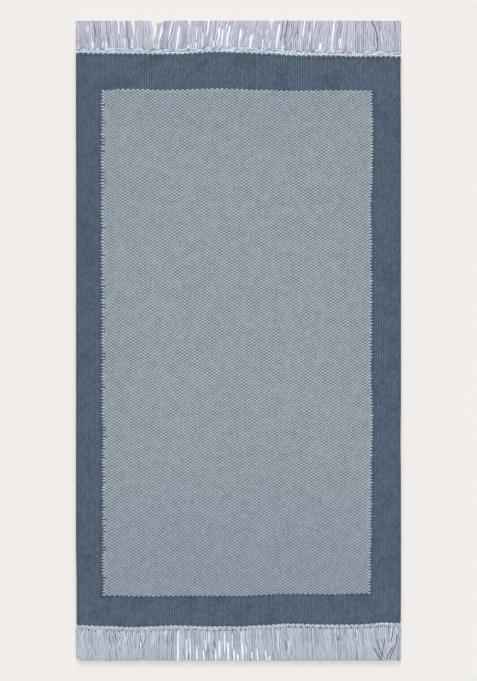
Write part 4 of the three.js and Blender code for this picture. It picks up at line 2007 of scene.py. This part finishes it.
    def pale(self, slit: Slit) -> list[Laid]:
        """Lays the pale threads that show in a slit as painted highlights, tucked under their
        neighbours at its ends.

        Args:
            slit: The slit.

        Returns:
            The points of each in millimetres, and the girth, tone and share along it.
        """
        first = max(slit.starts - self.pale_tuck, self.pale_first)
        share = np.linspace(first, min(slit.stops + self.pale_tuck, 1.0), self.pale_points)
        middle = self.slit_middle(slit, share)
        start = self.root_line(middle)
        reach = start + (self.tip_reach - self.pale_short - start) * share
        part = (share - slit.starts) / (slit.stops - slit.starts)
        swell = np.sin(math.pi * np.clip(part, 0.0, 1.0)) ** self.slit_power
        count = 1 + int(slit.opening > self.pale_widest)
        girth = slit.opening / count * (self.pale_narrow + (1.0 - self.pale_narrow) * swell)
        lift = self.pale_height - self.pale_sink * (1.0 - swell)
        lift = np.maximum(lift, girth * self.flatness) + self.root_rise(share)
        marks = {GIRTH: girth * MM, TONE: np.full_like(share, self.highlight_tone), ALONG: share}
        threads = []
        for index in range(count):
            aside = (index - (count - 1) / 2.0) * slit.opening * self.pale_apart * swell
            line = np.stack([middle + aside, self.end.value * reach, lift], axis=1)
            threads.append((line, marks))
        return threads

    def build(self) -> bpy.types.Object:
        """Makes the fringe.

        Returns:
            The piece.
        """
        chance = np.random.default_rng(self.seed + self.end.value)
        half = self.lattice.width / 2.0
        laid: list[Laid] = []
        for layer in self.layers:
            pitch = self.lattice.width / (self.knots * layer.per_knot)
            for index in range(self.knots * layer.per_knot):
                stray = chance.uniform(-self.root_stray, self.root_stray)
                root = -half + (index + 0.5) * pitch + stray
                root = min(max(root, -half + layer.radius), half - layer.radius)
                laid.append(self.strand(root, layer, chance))
        laid += [self.loose(thread) for thread in THREADS[self.end]]
        laid += [thread for slit in SLITS[self.end] for thread in self.pale(slit)]
        name = f"fringe_{self.end.name.lower()}"
        sizes = {"Sides": self.sides, "Flatness": self.flatness}
        return show(self.growth.grow(chains(name, laid), self.yarn, sizes), name)


class Lamp(NamedTuple):
    """One far-off lamp: its strength, how wide it looks and how it is tilted."""

    name: str
    strength: float
    spread_deg: float
    tilt_deg: tuple[float, float]


@dataclass
class Studio:
    """The floor, the soft light and the camera straight above the rug."""

    floor_half: float = 40.0
    view_height: float = 1.468
    lens: float = 200.0
    sensor: float = 36.0
    clip_end: float = 100.0
    sky: float = 0.475
    lamps: tuple[Lamp, ...] = (
        Lamp("broad_lamp", 1.2, 100.0, (-32.0, 8.0)),
        Lamp("low_lamp", 4.4, 12.0, (-81.0, 0.0)),
        Lamp("back_lamp", 0.47, 30.0, (60.0, 0.0)),
    )
    backdrop: Colour = (0.887, 0.855, 0.831)

    def lay_floor(self) -> bpy.types.Object:
        """Lays the floor, just under the rug.

        Returns:
            The floor.
        """
        half = self.floor_half
        mesh = bpy.data.meshes.new("floor")
        corners = [(-half, -half, 0.0), (half, -half, 0.0), (half, half, 0.0), (-half, half, 0.0)]
        mesh.from_pydata(corners, [], [(0, 1, 2, 3)])
        mesh.materials.append(FloorFinish().make())
        return show(mesh, "floor")

    def light(self) -> None:
        """Adds an even sky, a broad lamp above, a low one past the far end and a weak back one."""
        world = bpy.data.worlds.new("studio")
        world.use_nodes = True
        bench = NodeBench(world.node_tree)
        sky = world.node_tree.nodes["Background"]
        sky.inputs["Color"].default_value = (1.0, 1.0, 1.0, 1.0)
        sky.inputs["Strength"].default_value = self.sky
        backdrop = bench.add("ShaderNodeBackground", {"Color": (*self.backdrop, 1.0)})
        seen = bench.add("ShaderNodeLightPath").outputs["Is Camera Ray"]
        both = bench.out(
            "ShaderNodeMixShader", {0: seen, 1: sky.outputs[0], 2: backdrop.outputs[0]}
        )
        bench.feed(world.node_tree.nodes["World Output"].inputs["Surface"], both)
        bpy.context.scene.world = world
        for style in self.lamps:
            lamp = bpy.data.lights.new(style.name, "SUN")
            lamp.energy = style.strength
            lamp.angle = math.radians(style.spread_deg)
            thing = bpy.data.objects.new(style.name, lamp)
            thing.rotation_euler = [math.radians(angle) for angle in (*style.tilt_deg, 0.0)]
            bpy.context.scene.collection.objects.link(thing)

    def aim(self) -> None:
        """Sets the camera straight above the rug's middle, with +Y up in its view."""
        low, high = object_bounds()
        middle = (low + high) / 2.0
        data = bpy.data.cameras.new("camera")
        data.lens = self.lens
        data.sensor_width = self.sensor
        data.clip_end = self.clip_end
        camera = bpy.data.objects.new("camera", data)
        distance = self.view_height * self.lens / self.sensor
        camera.location = Vector((middle.x, middle.y, high.z + distance))
        bpy.context.scene.collection.objects.link(camera)
        bpy.context.scene.camera = camera

    def build(self) -> None:
        """Makes the whole studio."""
        self.lay_floor()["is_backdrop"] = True
        self.light()
        self.aim()
        bpy.context.scene.view_settings.view_transform = "Standard"


FIELD_YARN = WovenFinish(
    "field_yarn", valley_shade_colour=(0.15, 0.18, 0.205), cool_dye=(0.476, 0.538, 0.579),
    warm_dye=(0.497, 0.539, 0.598), outer_tint=(0.830, 0.836, 0.926), valley_tone=0.28,
    dip_tone=0.08, join_lift=0.12, bead_spread=0.09, near_calm=0.8, crisp_relief=0.95,
)
BORDER_YARN = WovenFinish(
    "border_yarn", valley_shade_colour=(0.050, 0.068, 0.099), cool_dye=(0.114, 0.156, 0.216),
    warm_dye=(0.124, 0.155, 0.219), outer_tint=(0.93, 0.965, 0.97), valley_tone=0.05,
    dip_tone=0.95, side_dip_tone=0.65, join_lift=-0.12, soft_relief=0.68, crisp_relief=0.88,
    bead_spread=0.14, fibre_spread=0.16, painted_heading_shade=0.12,
)
# Each cord's pale, shaded and tip colours.
SELVEDGE_YARNS = {
    Edge.LEFT: CordFinish(
        "left_selvedge_yarn", (0.120, 0.152, 0.187), (0.067, 0.088, 0.118), (0.120, 0.152, 0.187),
    ),
    Edge.RIGHT: CordFinish(
        "right_selvedge_yarn", (0.120, 0.159, 0.206), (0.068, 0.087, 0.125), (0.120, 0.159, 0.206),
    ),
}
HEADING_YARNS = {
    End.FAR: CordFinish(
        "far_heading_yarn", (0.69, 0.755, 0.843), (0.46, 0.51, 0.583), (0.69, 0.755, 0.843),
    ),
    End.NEAR: CordFinish(
        "near_heading_yarn", (0.62, 0.684, 0.775), (0.407, 0.456, 0.528), (0.62, 0.684, 0.775),
    ),
}
FRINGE_YARNS = {
    End.FAR: CordFinish(
        "far_fringe_yarn", (0.577, 0.602, 0.688), (0.317, 0.338, 0.406), (0.577, 0.58, 0.675),
    ),
    End.NEAR: CordFinish(
        "near_fringe_yarn", (0.627, 0.706, 0.787), (0.332, 0.377, 0.433), (0.444, 0.476, 0.549),
    ),
}


@dataclass
class Rug:
    """The whole rug, and how its pieces stand for the frame's nodes."""

    lattice: Lattice = field(default_factory=Lattice)

    def report(self, piece: bpy.types.Object) -> None:
        """Logs one finished piece."""
        LOG.info("%s: %d faces", piece.name, len(piece.data.polygons))

    def carry(self, piece: bpy.types.Object, slot: str, *nodes: str) -> None:
        """Fixes a piece to the body, hides the frame's nodes that it stands for, and logs it.

        Args:
            piece: The piece.
            slot: The name of a material slot. It is not used.
            *nodes: The frame's nodes that it stands for.
        """
        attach(piece, "root")
        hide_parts(*nodes)
        self.report(piece)

    def build(self) -> None:
        """Makes every piece of the rug."""
        weave, cord, loops = weave_tree(), cord_tree(), loop_tree()
        plan = self.lattice
        cloth = Cloth(plan, weave, FIELD_YARN.make(plan), BORDER_YARN.make(plan))
        woven_field, border = cloth.build()
        self.carry(woven_field, "field_yarn", "woven_cloth")
        self.carry(border, "border_yarn", "woven_cloth")
        for edge, finish in SELVEDGE_YARNS.items():
            selvedge = Selvedge(edge, plan, cord, finish.make()).build()
            self.carry(selvedge, "border_yarn", "woven_cloth")
        for end, finish in HEADING_YARNS.items():
            heading = Heading(end, plan, weave, loops, finish.make()).build()
            self.carry(heading, "heading_yarn", f"heading_{end.name.lower()}")
        for end, finish in FRINGE_YARNS.items():
            fringe = Fringe(end, plan, cord, finish.make()).build()
            self.carry(fringe, "fringe_yarn", f"fringe_{end.name.lower()}")


def main() -> None:
    logging.basicConfig(level=logging.INFO, format="%(message)s")
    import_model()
    Studio().build()
    Rug().build()


if __name__ == "__main__":
    main()
